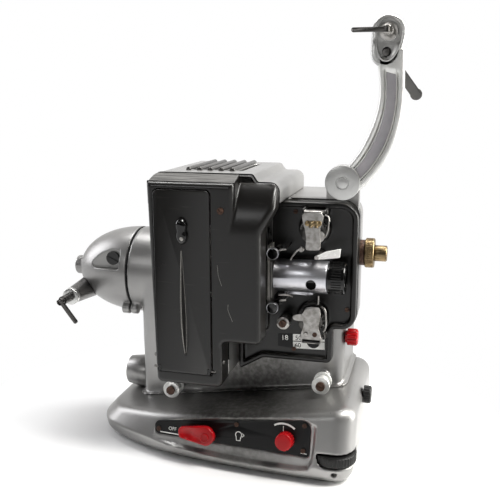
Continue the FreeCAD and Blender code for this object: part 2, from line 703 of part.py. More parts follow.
def body_bores():
    """Bearings and screw holes of the main casting."""
    y, z = COUPLING_AT
    motor_axis = (BARREL_Y, BARREL_Z)
    bores = [rod("x", motor_axis, MOTOR_SHAFT_R + SHAFT_GAP, (HOUSING_LEFT - 8, HOUSING_LEFT + 6)),
             rod("x", COUPLING_AT, 7 + SHAFT_GAP, (HOUSING_RIGHT - 6, HOUSING_RIGHT + 1)),
             rod("x", FRAMING_AT, 2 + SHAFT_GAP, (BODY_RIGHT - 6, BODY_RIGHT + 1)),
             rod("x", INLET_AT, 8, (BODY_LEFT - 1, BODY_LEFT + 6)),
             rod("x", COUPLING_AT, DRIVE_SHAFT_R + SHAFT_GAP, (SHAFT_LEFT - 0.5, HOUSING_LEFT + 6)),
             rod("x", COUPLING_AT, SHUTTER_PULLEY_R + BELT_THICK + 1, (PULLEY_X[0] - 1, PULLEY_X[1] + 1)),
             box((SHUTTER_X - 1.5, SHUTTER_X + 1.5), (BODY_FRONT - 1, BODY_FRONT + 6), (z - 38, z + 39))]
    for centre in (UPPER_SPROCKET, LOWER_SPROCKET):
        bores.append(rod("y", centre, AXLE_R + SHAFT_GAP, (BODY_FRONT - 1, BODY_FRONT + 6)))
    for centre in PATH_ROLLERS.values():
        bores.append(rod("y", centre, 1.5 + SHAFT_GAP, (0, 15)))
    for centre in cover_screws():
        bores.append(rod("y", centre, SCREW_R * 0.55 + SHAFT_GAP, (BODY_BACK - 5, BODY_BACK + 1)))
    return bores[0].fuse(bores[1:])


def back_cover():
    plate = slab(cover_outline(0), "xz", (BODY_BACK, BODY_BACK + BACK_COVER))
    for i in range(8):
        x = -140 + i * 10
        plate = plate.cut(slab(frame_corners((x, x + 3.6), (BASE_TOP + 8.5, -52), 1.7), "xz",
                               (BODY_BACK - 1, BODY_BACK + 4)))
    for centre in cover_screws():
        plate = plate.cut(rod("y", centre, SCREW_R * 0.55 + SHAFT_GAP, (BODY_BACK - 1, BODY_BACK + 4)))
    return bevelled(plate, 0.6, flat("y", BODY_BACK + BACK_COVER))


def body_screws():
    turns = (15, 80, -40, 55, 10, -65, 30)
    return [slotted_screw("y", centre, BODY_BACK + BACK_COVER + SCREW_HEAD, SCREW_R, -6.2, turn)
            for centre, turn in zip(cover_screws(), turns)]


# Lamp house

def case_corners():
    return [(CASE_LEFT_FOOT, CASE_FOOT, 6), (CASE_STEP_X, CASE_FOOT, 6), (CASE_STEP_X, CASE_STEP_Z, 6),
            (HOUSING_LEFT, CASE_STEP_Z, 6), (HOUSING_LEFT, HOUSING_TOP, 1), (HUMP_RIGHT, HOUSING_TOP, 1),
            (HUMP_RIGHT, HUMP_TOP, 7), (-53.5, HUMP_TOP, 3), (-57.5, CASE_TOP, 3), (CASE_LEFT, CASE_TOP, 5)]


def inset_slab(corners, plane, span, inset):
    face = Part.Face(rounded_wire(corners, plane, span[0])).makeOffset2D(-inset)
    return face.extrude(NORMALS[plane] * (span[1] - span[0]))


def lamp_house():
    case = slab(case_corners(), "xz", (SEAM_Y, CASE_BACK))
    case = rounded(case, 5, lambda edge: flat("y", CASE_BACK)(edge) and edge.BoundBox.ZMax > CASE_TOP - 1)
    case = case.cut(inset_slab(case_corners(), "xz", (SEAM_Y - 1, CASE_BACK - CASE_WALL), CASE_WALL))
    holder = ring("x", (0, 0), 15.6, 13.05, (-80, HOUSING_LEFT - 1))
    ribs = []
    slots = []
    for i in range(LOUVRES):
        x = LOUVRE_X + i * LOUVRE_PITCH
        rib = box((x - 1.6, x + 1.6), LOUVRE_Y, (CASE_TOP - 1, CASE_TOP + 1.6))
        ribs.append(rounded(rib, 1.2, flat("z", CASE_TOP + 1.6)))
        slots.append(box((x + 2.4, x + 6.8), grown(LOUVRE_Y, -4), (CASE_TOP - 6, CASE_TOP + 1)))
    case = case.fuse([holder] + ribs)
    near = [box((BODY_LEFT, BODY_RIGHT), (BODY_FRONT - 0.1, 120), (BODY_FOOT, BARREL_Z)),
            rod("x", (BARREL_Y, BARREL_Z), BARREL_R_OUT + 0.1, (BARREL_LEFT, -40)),
            box((HOUSING_LEFT, 30), (BODY_FRONT - 0.1, 120), (-60, HOUSING_TOP)),
            rod("x", (0, 0), 12.4, (-90, -40))]
    return case.cut(near[0].fuse(near[1:] + slots)).removeSplitter()


def cover_shape(inset):
    """The dark front of the lamp house; inset gives the hollow behind it."""
    curve_z = HUMP_TOP - math.sqrt(CURVE_R ** 2 - (SEAM_Y - COVER_FRONT + 10) ** 2)
    corners = [(CASE_LEFT_FOOT, CASE_FOOT, 5), (CASE_STEP_X, CASE_FOOT, 5), (CASE_STEP_X, CASE_STEP_Z, 5),
               (COVER_RIGHT, CASE_STEP_Z, 4), (COVER_RIGHT, curve_z + 3, 12),
               (HUMP_RIGHT, curve_z + 21, 12),
               (HUMP_RIGHT, HUMP_TOP, 6), (-54, HUMP_TOP, 3), (-58, CASE_TOP, 3), (CASE_LEFT, CASE_TOP, 4)]
    back = SEAM_Y + (1 if inset else 0)
    front = COVER_FRONT + inset
    face = Part.Face(rounded_wire(corners, "xz", front))
    if inset:
        face = face.makeOffset2D(-inset)
    body = face.extrude(V(0, back - front, 0))
    side = COVER_BOX_RIGHT - inset
    rise = (CASE_TOP - COVER_BOX_TOP) / (SEAM_Y - COVER_FRONT)
    slope = [V(-200, y, COVER_BOX_TOP - inset + (y - COVER_FRONT) * rise) for y in (COVER_FRONT - 5, 10)]
    slope = Part.Face(Part.makePolygon([slope[0], slope[1], V(-200, 10, 150), V(-200, -45, 150), slope[0]]))
    body = body.cut(slope.extrude(V(200 + side, 0, 0)))
    away = box((side, 0), (-60, 60), (curve_z, 150))
    return body.cut(away.cut(rod("x", (COVER_FRONT + CURVE_R, curve_z), CURVE_R - inset, (side - 1, 1))))


def door_opening(gap, span):
    return slab(frame_corners(grown(DOOR_X, gap), grown(DOOR_Z, gap), 4), "xz", span)


def front_cover():
    cover = cover_shape(0)
    cover = rounded(cover, 4, flat("y", COVER_FRONT))
    cover = cover.cut(cover_shape(CASE_WALL))
    cover = cover.cut(door_opening(MOVE_GAP, (COVER_FRONT - 5, SEAM_Y)))
    foot = (DOOR_Z[0] - MOVE_GAP, DOOR_Z[0] + 5)     # square corners, so that the open door clears them
    cover = cover.cut(box(grown(DOOR_X, MOVE_GAP), (COVER_FRONT - 5, SEAM_Y), foot))
    cover = cover.cut(rod("x", (HINGE_Y, HINGE_Z), HINGE_PIN_R + SHAFT_GAP, grown(DOOR_X, 3.4)))
    return cover.cut(rod("y", COVER_SCREW, 2.6 * 0.55 + SHAFT_GAP, (-50, -30))).removeSplitter()


def door_fin():
    """The leaf-shaped handle of the door, with a ridge down its middle."""
    (foot_x, foot_z), (head_x, head_z) = FIN_FOOT, FIN_HEAD
    y = COVER_FRONT - 1.0
    rows = []
    for i in range(13):
        share = i / 12
        swell = 0.06 + 0.94 * math.sin(math.pi * share)
        x, z = foot_x + (head_x - foot_x) * share, foot_z + (head_z - foot_z) * share
        rows.append([V(x - FIN_HALF * swell, y, z), V(x, y - FIN_HIGH * swell, z), V(x + FIN_HALF * swell, y, z)])
    outlines = [rows[0], rows[-1]]
    for low, high in zip(rows, rows[1:]):
        outlines += [[low[i], low[i - 1], high[i - 1], high[i]] for i in range(3)]
    fin = Part.Solid(Part.Shell([Part.Face(Part.makePolygon(points + points[:1])) for points in outlines]))
    if fin.Volume < 0:
        fin.reverse()
    return fin


def lamp_door():
    door = slab(frame_corners(DOOR_X, DOOR_Z, 4), "xz", (COVER_FRONT - 1.2, COVER_FRONT + 1.0))
    door = rounded(door, 1.0, flat("y", COVER_FRONT - 1.2))
    knuckle = rod("x", (HINGE_Y, HINGE_Z), HINGE_PIN_R + 0.9, grown(DOOR_X, -1))
    door = joined(door, door_fin(), knuckle)
    door = door.cut(rod("x", (HINGE_Y, HINGE_Z), HINGE_PIN_R + SHAFT_GAP, grown(DOOR_X, 1)))
    return door.cut(rod("y", LATCH_AT, 1.8 + SHAFT_GAP, (-60, -30)))


def door_hinge_pin():
    return rod("x", (HINGE_Y, HINGE_Z), HINGE_PIN_R, grown(DOOR_X, 3.2))


def door_latch():
    x, z = LATCH_AT
    y = (COVER_FRONT - 7.4, COVER_FRONT - 1.6)
    knob = joined(rod("y", (x, z - 5.4), LATCH_LOBE_R, y), rod("y", (x, z + 5.6), LATCH_LOBE_R, y),
                  box((x - 4.0, x + 4.0), y, (z - 5.4, z + 5.6)))
    stem = rod("y", LATCH_AT, 1.8, (COVER_FRONT - 3, COVER_FRONT + 4))
    tongue = box((x - 2.4, x + 2.4), (COVER_FRONT + 1.4, COVER_FRONT + 3.2), (z - 4, z + 4))
    return joined(knob, stem, tongue)


def lamp_bulb():
    profile = [(-31, 0), (-31, 8), (-27.6, 8), (-24.5, 12.4), (30, 12.4), (36, 9), (38.5, 3), (39, 0)]
    return turned("z", (LAMP_X, 0), profile)


def lamp_socket():
    floor = CASE_FOOT + CASE_WALL
    foot = rod("z", (LAMP_X, 0), 15, (floor, floor + 3))
    body = rod("z", (LAMP_X, 0), 11, (floor, -38))
    cup = ring("z", (LAMP_X, 0), 11, 8 + SHAFT_GAP, (-38, -28))
    return joined(foot, body, cup)


def reflector():
    ball = Part.makeSphere(34, V(LAMP_X + 8, 0, 0)).cut(Part.makeSphere(32.8, V(LAMP_X + 8, 0, 0)))
    cap = ball.common(rod("x", (0, 0), 19, (LAMP_X - 30, LAMP_X - 15)))
    post = box((LAMP_X - 28, LAMP_X - 24.6), (-4, 4), (CASE_FOOT + CASE_WALL, -6))
    return joined(cap, post.cut(Part.makeSphere(33.4, V(LAMP_X + 8, 0, 0))))


def condenser_lens():
    left = Part.makeSphere(24, V(-76 + 24, 0, 0))
    right = Part.makeSphere(24, V(-64 - 24, 0, 0))
    return left.common(right).common(rod("x", (0, 0), 13, (-78, -60)))


# Mechanism in front of the plate

def plate_corners():
    return [(-55.7, PLATE_TOP, 4), (HOUSING_RIGHT, PLATE_TOP, 14), (HOUSING_RIGHT, PLATE_STEP, 12),
            (PLATE_STEP_X, PLATE_STEP, 3), (PLATE_STEP_X, PLATE_FOOT, 5), (-56, PLATE_FOOT, 9),
            (-77.7, -90, 2), (-77.7, CASE_STEP_Z - 0.4, 5.6), (-55.7, CASE_STEP_Z - 0.4, 2)]


def guard_ears(hinge_z):
    x0, x1 = GUARD_X
    out = []
    for pair in ((x0 - 2.6, x0 - 0.4), (x1 + 0.4, x1 + 2.6)):
        ear = box(pair, (GUARD_HINGE_Y, PLATE_FACE + 1), (hinge_z - 2.6, hinge_z + 2.6))
        out.append(ear.fuse(rod("x", (GUARD_HINGE_Y, hinge_z), 2.6, pair)))
    return out


def stud(centre, radius, front, collar_r, collar_front):
    """A fixed stud of the mechanism plate with a collar behind its roller."""
    return joined(rod("y", centre, radius, (front, PLATE_FACE + 1)),
                  rod("y", centre, collar_r, (collar_front, PLATE_FACE + 1)))


def mechanism_plate():
    plate = slab(plate_corners(), "xz", (PLATE_RIM, BODY_FRONT))
    plate = rounded(plate, 1.6, flat("y", PLATE_RIM))
    plate = plate.cut(inset_slab(plate_corners(), "xz", (PLATE_RIM - 1, PLATE_FACE), PLATE_RIM_WIDE))
    extras = [rod("y", centre, SPROCKET_BOSS_R, (6.4, PLATE_FACE + 1))
              for centre in (UPPER_SPROCKET, LOWER_SPROCKET)]
    for hinge_z in (UPPER_HINGE_Z, LOWER_HINGE_Z):
        extras += guard_ears(hinge_z)
    for z in GATE_ROLLER_Z:
        extras.append(stud((GATE_ROLLER_X, z), 1.2, -8.6, 2.2, 5.6))
    plate = plate.fuse(extras)
    holes = [rod("y", centre, AXLE_R + SHAFT_GAP, (0, 20)) for centre in (UPPER_SPROCKET, LOWER_SPROCKET)]
    for hinge_z in (UPPER_HINGE_Z, LOWER_HINGE_Z):
        holes.append(rod("x", (GUARD_HINGE_Y, hinge_z), GUARD_PIN_R + SHAFT_GAP, grown(GUARD_X, 4)))
    holes.append(rod("y", LEVER_PIVOT, 1.6 + SHAFT_GAP, (0, 20)))
    holes.append(rod("y", LOOP_ROLLER, 1.5 + SHAFT_GAP, (6, 16)))
    z = COUPLING_AT[1]
    holes.append(box((SHUTTER_X - 1.5, SHUTTER_X + 1.5), (0, 20), (z - 38, z + 39)))
    for centre in PLATE_SCREWS:
        holes.append(rod("y", centre, SCREW_R * 0.55 + SHAFT_GAP, (0, 16)))
    plate = plate.fuse(rod("y", LOOP_ROLLER, 3.6, (6.4, PLATE_FACE + 1)))
    return plate.cut(holes[0].fuse(holes[1:])).removeSplitter()


def film_gate():
    plate = box((FILM_X - GATE_THICK, FILM_X), (-GATE_HALF, GATE_HALF), GATE_Z)
    foot = box((FILM_X - GATE_THICK, FILM_X), (GATE_HALF - 1, PLATE_FACE), (-14, 14))
    lip = box((FILM_X - GATE_THICK, FILM_X - 1.2), (-GATE_HALF - 2, -GATE_HALF + 1), grown(GATE_Z, -12))
    channel = box((FILM_X - 0.25, FILM_X + 1), (-4.1, 4.1), grown(GATE_Z, 1))
    window = box((FILM_X - 5, FILM_X + 1), (-2.4, 2.4), (-1.8, 1.8))
    claw = box((FILM_X - 5, FILM_X + 1), (2.8, 3.8), (-8, -3))
    return joined(plate, foot, lip).cut(channel.fuse([window, claw]))


def pressure_plate():
    left = FILM_X + 0.5
    plate = box((left, left + 1.2), (-GATE_HALF, GATE_HALF + 4), (-18, 12))
    window = box((left - 1, left + 3), (-3.2, 3.2), (-3, 3))
    stem = rod("x", (11, -15.5), 1.5, (left, left + 9))
    return joined(plate, stem).cut(window)


def lens_holder():
    tube = ring("x", (0, 0), TUBE_R, BARREL_R + SHAFT_GAP, (TUBE_LEFT, 0))
    tube = bevelled(tube, 0.5, flat("x", 0))
    tube = tube.cut(rod("y", TUBE_HOLE, TUBE_HOLE_R, (-20, 0)))
    post = box((TUBE_LEFT + 5, -14), (8, PLATE_FACE), (-19, 8))
    post = post.cut(rod("x", (0, 0), TUBE_R - 0.5, (-60, 20)))
    post = post.cut(rod("x", (11, -15.5), 1.5 + SHAFT_GAP, (-60, TUBE_LEFT + 16)))
    return joined(tube, post)


def lens_barrel():
    body = ring("x", (0, 0), BARREL_R, 8.6, (-30, RING_X[1] - 1.5))
    return joined(body, ring("x", (0, 0), BARREL_R, 7.0, (-12, -9)))


def lens_glass():
    front = Part.makeSphere(26, V(10.5 - 26, 0, 0)).common(rod("x", (0, 0), 8.6, (4, 12)))
    rear = Part.makeSphere(20, V(-29.5 + 20, 0, 0)).common(rod("x", (0, 0), 8.6, (-32, -24)))
    return [front, rear]


def focus_ring():
    body = ring("x", (0, 0), RING_R, BARREL_R + SHAFT_GAP, RING_X)
    body = bevelled(body, 0.6, lambda e: flat("x", RING_X[1])(e) or flat("x", RING_X[0])(e))
    for i in range(36):
        groove = rod("x", (0, RING_R + 0.25), 0.7, (RING_X[0] + 3, RING_X[1] - 2.4))
        body = body.cut(turned_about(groove, V(0, 0, 0), V(1, 0, 0), i * 10))
    return body


def gate_lever():
    x, z = LEVER_PIVOT
    y = (-11.4, -9.9)
    corners = [(x - 1, z - 2.2, 1), (x + 5, z - 1.2, 3), (x + 19, z + 0.2, 1.5), (x + 18.8, z + 8.7, 1.5),
               (x + 4, z + 4.9, 3), (x - 1.5, z + 2.4, 1)]
    blade = slab(corners, "xz", y)
    hub = rod("y", LEVER_PIVOT, 3.0, (-12.4, -9.9))
    return joined(blade, hub, rod("y", LEVER_PIVOT, 1.6, (-12.4, PLATE_FACE + 2.6)))


def sprocket(centre):
    core = rod("y", centre, 8.2, (-SPROCKET_HALF, SPROCKET_HALF))
    rails = [rod("y", centre, SPROCKET_R, span) for span in ((-SPROCKET_HALF, -2.9), (2.9, SPROCKET_HALF))]
    hub = rod("y", centre, 4.4, (-SPROCKET_HALF - 1.4, SPROCKET_HALF + 1.6))
    shaft = rod("y", centre, AXLE_R, (-4, BODY_FRONT + 6))
    x, z = centre
    tooth = box((x + 7.6, x + SPROCKET_R + 1.2), (1.3, 2.3), (z - 0.6, z + 0.6))
    teeth = [turned_about(tooth, V(x, 0, z), V(0, 1, 0), i * 360 / SPROCKET_TEETH)
             for i in range(SPROCKET_TEETH)]
    return joined(core, *rails, hub, shaft, *teeth)


def guard(hinge_z, side):
    """A hinged film guard; side is 1 over the upper sprocket and -1 under the lower one."""
    x0, x1 = GUARD_X
    lid_z = sorted((hinge_z - side * 0.4, hinge_z - side * 1.8))
    lid = box((x0, x1), (GUARD_FRONT - 1.2, GUARD_HINGE_Y), lid_z)
    top, end = hinge_z - side * 0.4, hinge_z - side * 28
    front = [(x0, top, 2), (x1, top, 2), (x1 - 1, end, 4), (x0 + 2, end, 4)]
    plate = slab(front, "xz", (GUARD_FRONT - 1.2, GUARD_FRONT))
    knuckle = rod("x", (GUARD_HINGE_Y, hinge_z), GUARD_HINGE_R, (x0, x1))
    pin = rod("x", (GUARD_HINGE_Y, hinge_z), GUARD_PIN_R, (x0 - 2.6, x1 + 2.6))
    return joined(lid, plate, knuckle, pin)


def gate_roller(z):
    centre = (GATE_ROLLER_X, z)
    body = joined(rod("y", centre, 2.4, (-8.5, 5.2)), rod("y", centre, GATE_ROLLER_R, (-12, -8.4)))
    return body.cut(rod("y", centre, 1.2 + SHAFT_GAP, (-8.7, 6)))


def loop_roller():
    body = rod("y", LOOP_ROLLER, LOOP_ROLLER_R, (-6, 6))
    return body.cut(rod("y", LOOP_ROLLER, AXLE_R + SHAFT_GAP, (-7, 7)))


def path_roller(centre):
    body = rod("y", centre, PATH_CORE_R, (-REEL_HALF, REEL_HALF))
    flanges = [rod("y", centre, PATH_ROLLER_R, span) for span in ((-REEL_HALF, -4.4), (4.4, REEL_HALF))]
    return joined(body, *flanges).cut(rod("y", centre, AXLE_R + SHAFT_GAP, (-8, 8)))


def roller_screws():
    out = []
    for centre, back, turn in ((PATH_ROLLERS["right"], 7.2, 20), (PATH_ROLLERS["left"], 7.2, -50),
                               (LOOP_ROLLER, 6.2, 70)):
        front = -7.2 if centre != LOOP_ROLLER else -6.6
        radius = 3.8 if centre != LOOP_ROLLER else 3.0
        head = rod("y", centre, radius, (front - 1.6, front))
        slot = box((-radius, radius), (front - 2, front - 0.9), (-0.45, 0.45))
        slot.translate(V(centre[0], 0, centre[1]))
        slot.rotate(V(centre[0], 0, centre[1]), V(0, 1, 0), turn)
        shoulder = rod("y", centre, AXLE_R, (front - 0.4, back))
        out.append(joined(head, shoulder, rod("y", centre, 1.5, (back, back + 5))).cut(slot))
    for centre, turn in zip(PLATE_SCREWS, (10, -30, 75)):
        out.append(slotted_screw("y", centre, PLATE_FACE - SCREW_HEAD, SCREW_R, 2.9, turn))
    out.append(slotted_screw("y", COVER_SCREW, COVER_FRONT - SCREW_HEAD, 2.6, 3.6, 40))
    return out


# Right side and drive

def framing_knob():
    knob = rounded(rod("x", FRAMING_AT, FRAMING_R, FRAMING_X), 1.6, flat("x", FRAMING_X[1]))
    collar = rod("x", FRAMING_AT, 5.4, (BODY_RIGHT + MOVE_GAP, FRAMING_X[0]))
    return joined(knob, collar, rod("x", FRAMING_AT, 2, (BODY_RIGHT - 6, FRAMING_X[0])))


def coupling_bush():
    face = HOUSING_RIGHT
    body = joined(rod("x", COUPLING_AT, BUSH_R, (face, face + BUSH_LONG)),
                  rod("x", COUPLING_AT, 7, (face - 6, face + BUSH_LONG + 5.4)))
    return body.cut(rod("x", COUPLING_AT, DRIVE_SHAFT_R + SHAFT_GAP, (0, 60)))


def coupling_nut():
    start = HOUSING_RIGHT + BUSH_LONG + MOVE_GAP
    end = start + NUT_LONG
    body = rod("x", COUPLING_AT, NUT_R, (start, end))
    body = bevelled(body, 0.6, lambda e: flat("x", start)(e) or flat("x", end)(e))
    for i in range(44):
        groove = rod("x", (COUPLING_AT[0], COUPLING_AT[1] + NUT_R + 0.25), 0.65, (start + 1, end - 1))
        body = body.cut(turned_about(groove, centred("x", COUPLING_AT, 0), V(1, 0, 0), i * 360 / 44))
    body = body.cut(rod("x", COUPLING_AT, 7 + SHAFT_GAP, (start - 1, start + 5.4)))
    return body.cut(rod("x", COUPLING_AT, STUB_R + MOVE_GAP, (start, end + 1)))


def drive_shaft():
    start = HOUSING_RIGHT + BUSH_LONG + 5.8
    shaft = joined(rod("x", COUPLING_AT, DRIVE_SHAFT_R, (SHAFT_LEFT, start + 1)),
                   rod("x", COUPLING_AT, STUB_R - 0.4, (start, start + 3)))
    stub = bevelled(rod("x", COUPLING_AT, STUB_R, (start + 2.4, STUB_END)), 0.8, flat("x", STUB_END))
    return joined(shaft, stub, belt_wheel(COUPLING_AT, SHUTTER_PULLEY_R))


def belt_wheel(centre, radius):
    """A pulley whose rims stand out beside the belt."""
    x0, x1 = PULLEY_X
    rims = [rod("x", centre, radius + 0.8, span) for span in ((x0, x0 + 1.2), (x1 - 1.2, x1))]
    return joined(rod("x", centre, radius - BELT_SINK, PULLEY_X), *rims)


def shutter_disc():
    disc = rod("x", COUPLING_AT, SHUTTER_R, (SHUTTER_X - 0.5, SHUTTER_X + 0.5))
    y, z = COUPLING_AT
    gap = box((SHUTTER_X - 2, SHUTTER_X + 2), (y, y + 50), (z, z + 50))
    gap = gap.cut(rod("x", COUPLING_AT, 16, (SHUTTER_X - 3, SHUTTER_X + 3)))
    gaps = [turned_about(gap, centred("x", COUPLING_AT, 0), V(1, 0, 0), turn) for turn in (-45, 135)]
    hub = rod("x", COUPLING_AT, 7, (SHUTTER_X - 0.5, SHUTTER_X + 5))
    disc = disc.cut(gaps[0].fuse(gaps[1])).fuse(hub)
    return disc.cut(rod("x", COUPLING_AT, DRIVE_SHAFT_R + 0.01, (-60, 0))).removeSplitter()


def drive_belt():
    first, second = COUPLING_AT, (BARREL_Y, BARREL_Z)
    middle = sum(PULLEY_X) / 2
    span = (middle - 1.2, middle + 1.2)
    inner = SEAT_GAP - BELT_SINK
    outer = inner + BELT_THICK
    loop = hull("x", first, SHUTTER_PULLEY_R + outer, second, MOTOR_PULLEY_R + outer, span)
    return loop.cut(hull("x", first, SHUTTER_PULLEY_R + inner, second, MOTOR_PULLEY_R + inner,
                         (span[0] - 1, span[1] + 1)))


# Motor

def dome_shape(inset):
    """Half an ellipsoid on the motor axis, pointing to the left."""
    ellipse = Part.Ellipse(V(DOME_RIGHT, 0, 0), DOME_LONG - inset, BARREL_R_OUT - inset)
    arc = Part.ArcOfEllipse(ellipse, math.pi / 2, math.pi).toShape()
    tip = V(DOME_RIGHT - DOME_LONG + inset, 0, 0)
    foot = V(DOME_RIGHT, 0, 0)
    rim = V(DOME_RIGHT, BARREL_R_OUT - inset, 0)
    outline = Part.Wire(Part.__sortEdges__([arc, Part.LineSegment(tip, foot).toShape(),
                                            Part.LineSegment(foot, rim).toShape()]))
    shape = Part.Face(outline).revolve(V(0, 0, 0), V(1, 0, 0), 360)
    shape.translate(V(0, BARREL_Y, BARREL_Z))
    return shape


def brush_cap():
    x, z = BRUSH_AT
    head = rod("y", BRUSH_AT, BRUSH_R, (POCKET_Y - 2.2, POCKET_Y - 0.1))
    slot = box((x - 7, x + 7), (POCKET_Y - 3, POCKET_Y - 1.2), (z - 0.6, z + 0.6))
    stem = rod("y", BRUSH_AT, 3.6, (POCKET_Y - 1, BARREL_Y - COMMUTATOR_R - 0.3))
    return joined(head.cut(turned_about(slot, V(x, 0, z), V(0, 1, 0), 25)), stem)


def motor_dome():
    outer = dome_shape(0)
    pad = box(grown(POCKET_X, 3), (POCKET_Y - 3, POCKET_Y + 3), grown(POCKET_Z, 3))
    pads = [pad.common(outer), pad.mirror(V(0, BARREL_Y, 0), V(0, 1, 0)).common(outer)]
    pocket = box(POCKET_X, (0, POCKET_Y), POCKET_Z)
    pocket = rounded(pocket, 3, lambda e: e.BoundBox.YLength > 5)
    hole = rod("y", BRUSH_AT, 3.6 + SHAFT_GAP, (0, 32))
    openings = [pocket, pocket.mirror(V(0, BARREL_Y, 0), V(0, 1, 0)), hole,
                hole.mirror(V(0, BARREL_Y, 0), V(0, 1, 0))]
    axis = (BARREL_Y, BARREL_Z)
    tip = rod("x", axis, DOME_TIP_R, (DOME_END, DOME_END + DOME_TIP + 4))
    tip = rounded(tip, 1.5, flat("x", DOME_END))
    bearing = rod("x", axis, 8, (DOME_END + DOME_TIP, DOME_END + DOME_TIP + 14)).common(outer)
    bore_r = BARREL_R_OUT - BODY_WALL
    spigot = ring("x", axis, bore_r - 0.1, bore_r - 2.4, (DOME_RIGHT - 2, BARREL_LEFT + 4))
    rim = ring("x", axis, BARREL_R_OUT, bore_r - 2.4, (DOME_RIGHT - 3, DOME_RIGHT)).common(outer)
    lugs = [rod("x", (y, LUG_Z), LUG_R, (DOME_RIGHT - 7, DOME_RIGHT)) for y in LUG_YS]
    shell = outer.cut(dome_shape(DOME_WALL)).fuse(pads + [tip, bearing, rim, spigot])
    shell = shell.fuse([lug.cut(dome_shape(0.5)) for lug in lugs])
    shell = shell.cut(openings[0].fuse(openings[1:]))
    shell = shell.cut(rod("x", axis, MOTOR_SHAFT_R + SHAFT_GAP, (DOME_END + 3, -180)))
    return shell.cut(take_up_cone()).removeSplitter()


def motor_rotor():
    axis = (BARREL_Y, BARREL_Z)
    pieces = [rod("x", axis, MOTOR_SHAFT_R, (DOME_END + 3.4, PULLEY_X[1] + 2)),
              rod("x", axis, ROTOR_R, (-172, -128)), rod("x", axis, 17, (-180, -120)),
              rod("x", axis, COMMUTATOR_R, (-204, -190)), rod("x", axis, 9, (-112, -98)),
              rod("x", axis, FAN_R, (-112, -110.8)), belt_wheel(axis, MOTOR_PULLEY_R)]
    for i in range(12):
        blade = box((-111, -99), (BARREL_Y - 0.8, BARREL_Y + 0.8), (BARREL_Z + 8, BARREL_Z + FAN_R))
        pieces.append(turned_about(blade, centred("x", axis, 0), V(1, 0, 0), i * 30))
    return joined(*pieces)


# Supply arm

def edge_points(points, shift):
    """Points moved sideways from the line they form, for an inner line beside an outer one."""
    out = []
    for i, (x, z) in enumerate(points):
        x0, z0 = points[max(i - 1, 0)]
        x1, z1 = points[min(i + 1, len(points) - 1)]
        length = math.hypot(x1 - x0, z1 - z0)
        out.append((x + shift * (z1 - z0) / length, z - shift * (x1 - x0) / length))
    return out


def arm_plate(left, right, span):
    """A plate between two curved edges, both listed from the pivot to the head."""
    sides = []
    for points in (left, right):
        curve = Part.BSplineCurve()
        curve.interpolate([V(x, span[0], z) for x, z in points])
        sides.append(curve.toShape())
    ends = [Part.LineSegment(at("xz", *left[i], span[0]), at("xz", *right[i], span[0])).toShape()
            for i in (0, -1)]
    wire = Part.Wire(Part.__sortEdges__([sides[0], ends[1], sides[1], ends[0]]))
    return Part.Face(wire).extrude(V(0, span[1] - span[0], 0))


def head_shape(grow, span):
    """The egg-shaped head round the two gears of the arm."""
    return hull("y", SPINDLE_AT, HEAD_R + grow, CRANK_AT, HEAD_FOOT_R + grow, span)


def reel_arm():
    plate = arm_plate(ARM_LEFT_EDGE, ARM_RIGHT_EDGE, (ARM_FRONT, ARM_BACK))
    channel = arm_plate(edge_points(ARM_LEFT_EDGE, ARM_RIB)[2:], edge_points(ARM_RIGHT_EDGE, -ARM_RIB)[2:],
                        (ARM_FRONT - 1, ARM_FRONT + ARM_CHANNEL))
    channel = channel.cut(box((0, 90), (0, 30), (163.5, 230)))
    pivot = rod("y", PIVOT_AT, PIVOT_R, (PIVOT_FRONT, BODY_FRONT - MOVE_GAP))
    pivot = bevelled(pivot, 0.8, flat("y", PIVOT_FRONT))
    head = head_shape(0, (ARM_FRONT, HEAD_BACK))
    arm = joined(plate.cut(channel), head, pivot)
    arm = arm.cut(head_shape(-1.4, (ARM_FRONT + 2.2, HEAD_BACK + 1)))
    arm = arm.cut(rod("y", SPINDLE_AT, 3 + SHAFT_GAP, (0, 20)))
    arm = arm.fuse(rod("y", CRANK_AT, 4, (ARM_FRONT, ARM_FRONT + 2.6)))
    arm = arm.cut(rod("y", CRANK_AT, 2.5 + SHAFT_GAP, (ARM_FRONT + 0.8, 20)))
    return arm.cut(rod("y", PIVOT_AT, 4 + SHAFT_GAP, (PIVOT_FRONT + 1.5, 40)))


def arm_gear_cover():
    cover = head_shape(0, (HEAD_BACK, HEAD_BACK + 2))
    cover = bevelled(cover, 0.5, flat("y", HEAD_BACK + 2))
    cover = cover.cut(rod("y", CRANK_AT, 2.5 + SHAFT_GAP, (0, 40)))
    return cover.cut(rod("y", SPINDLE_AT, 3 + SHAFT_GAP, (0, 40)))


def gear(centre, teeth, pitch_r, span, turn):
    """A small spur gear with straight-sided teeth, one of them at the angle turn."""
    step = 2 * math.pi / teeth
    points = []
    for i in range(teeth):
        middle = math.radians(turn) + i * step
        for share, radius in ((-0.3, pitch_r - 1.05), (-0.13, pitch_r + 0.7), (0.13, pitch_r + 0.7),
                              (0.3, pitch_r - 1.05)):
            angle = middle + share * step
            points.append(at("xz", centre[0] + radius * math.cos(angle), centre[1] + radius * math.sin(angle),
                             span[0]))
    return Part.Face(Part.makePolygon(points + points[:1])).extrude(V(0, span[1] - span[0], 0))


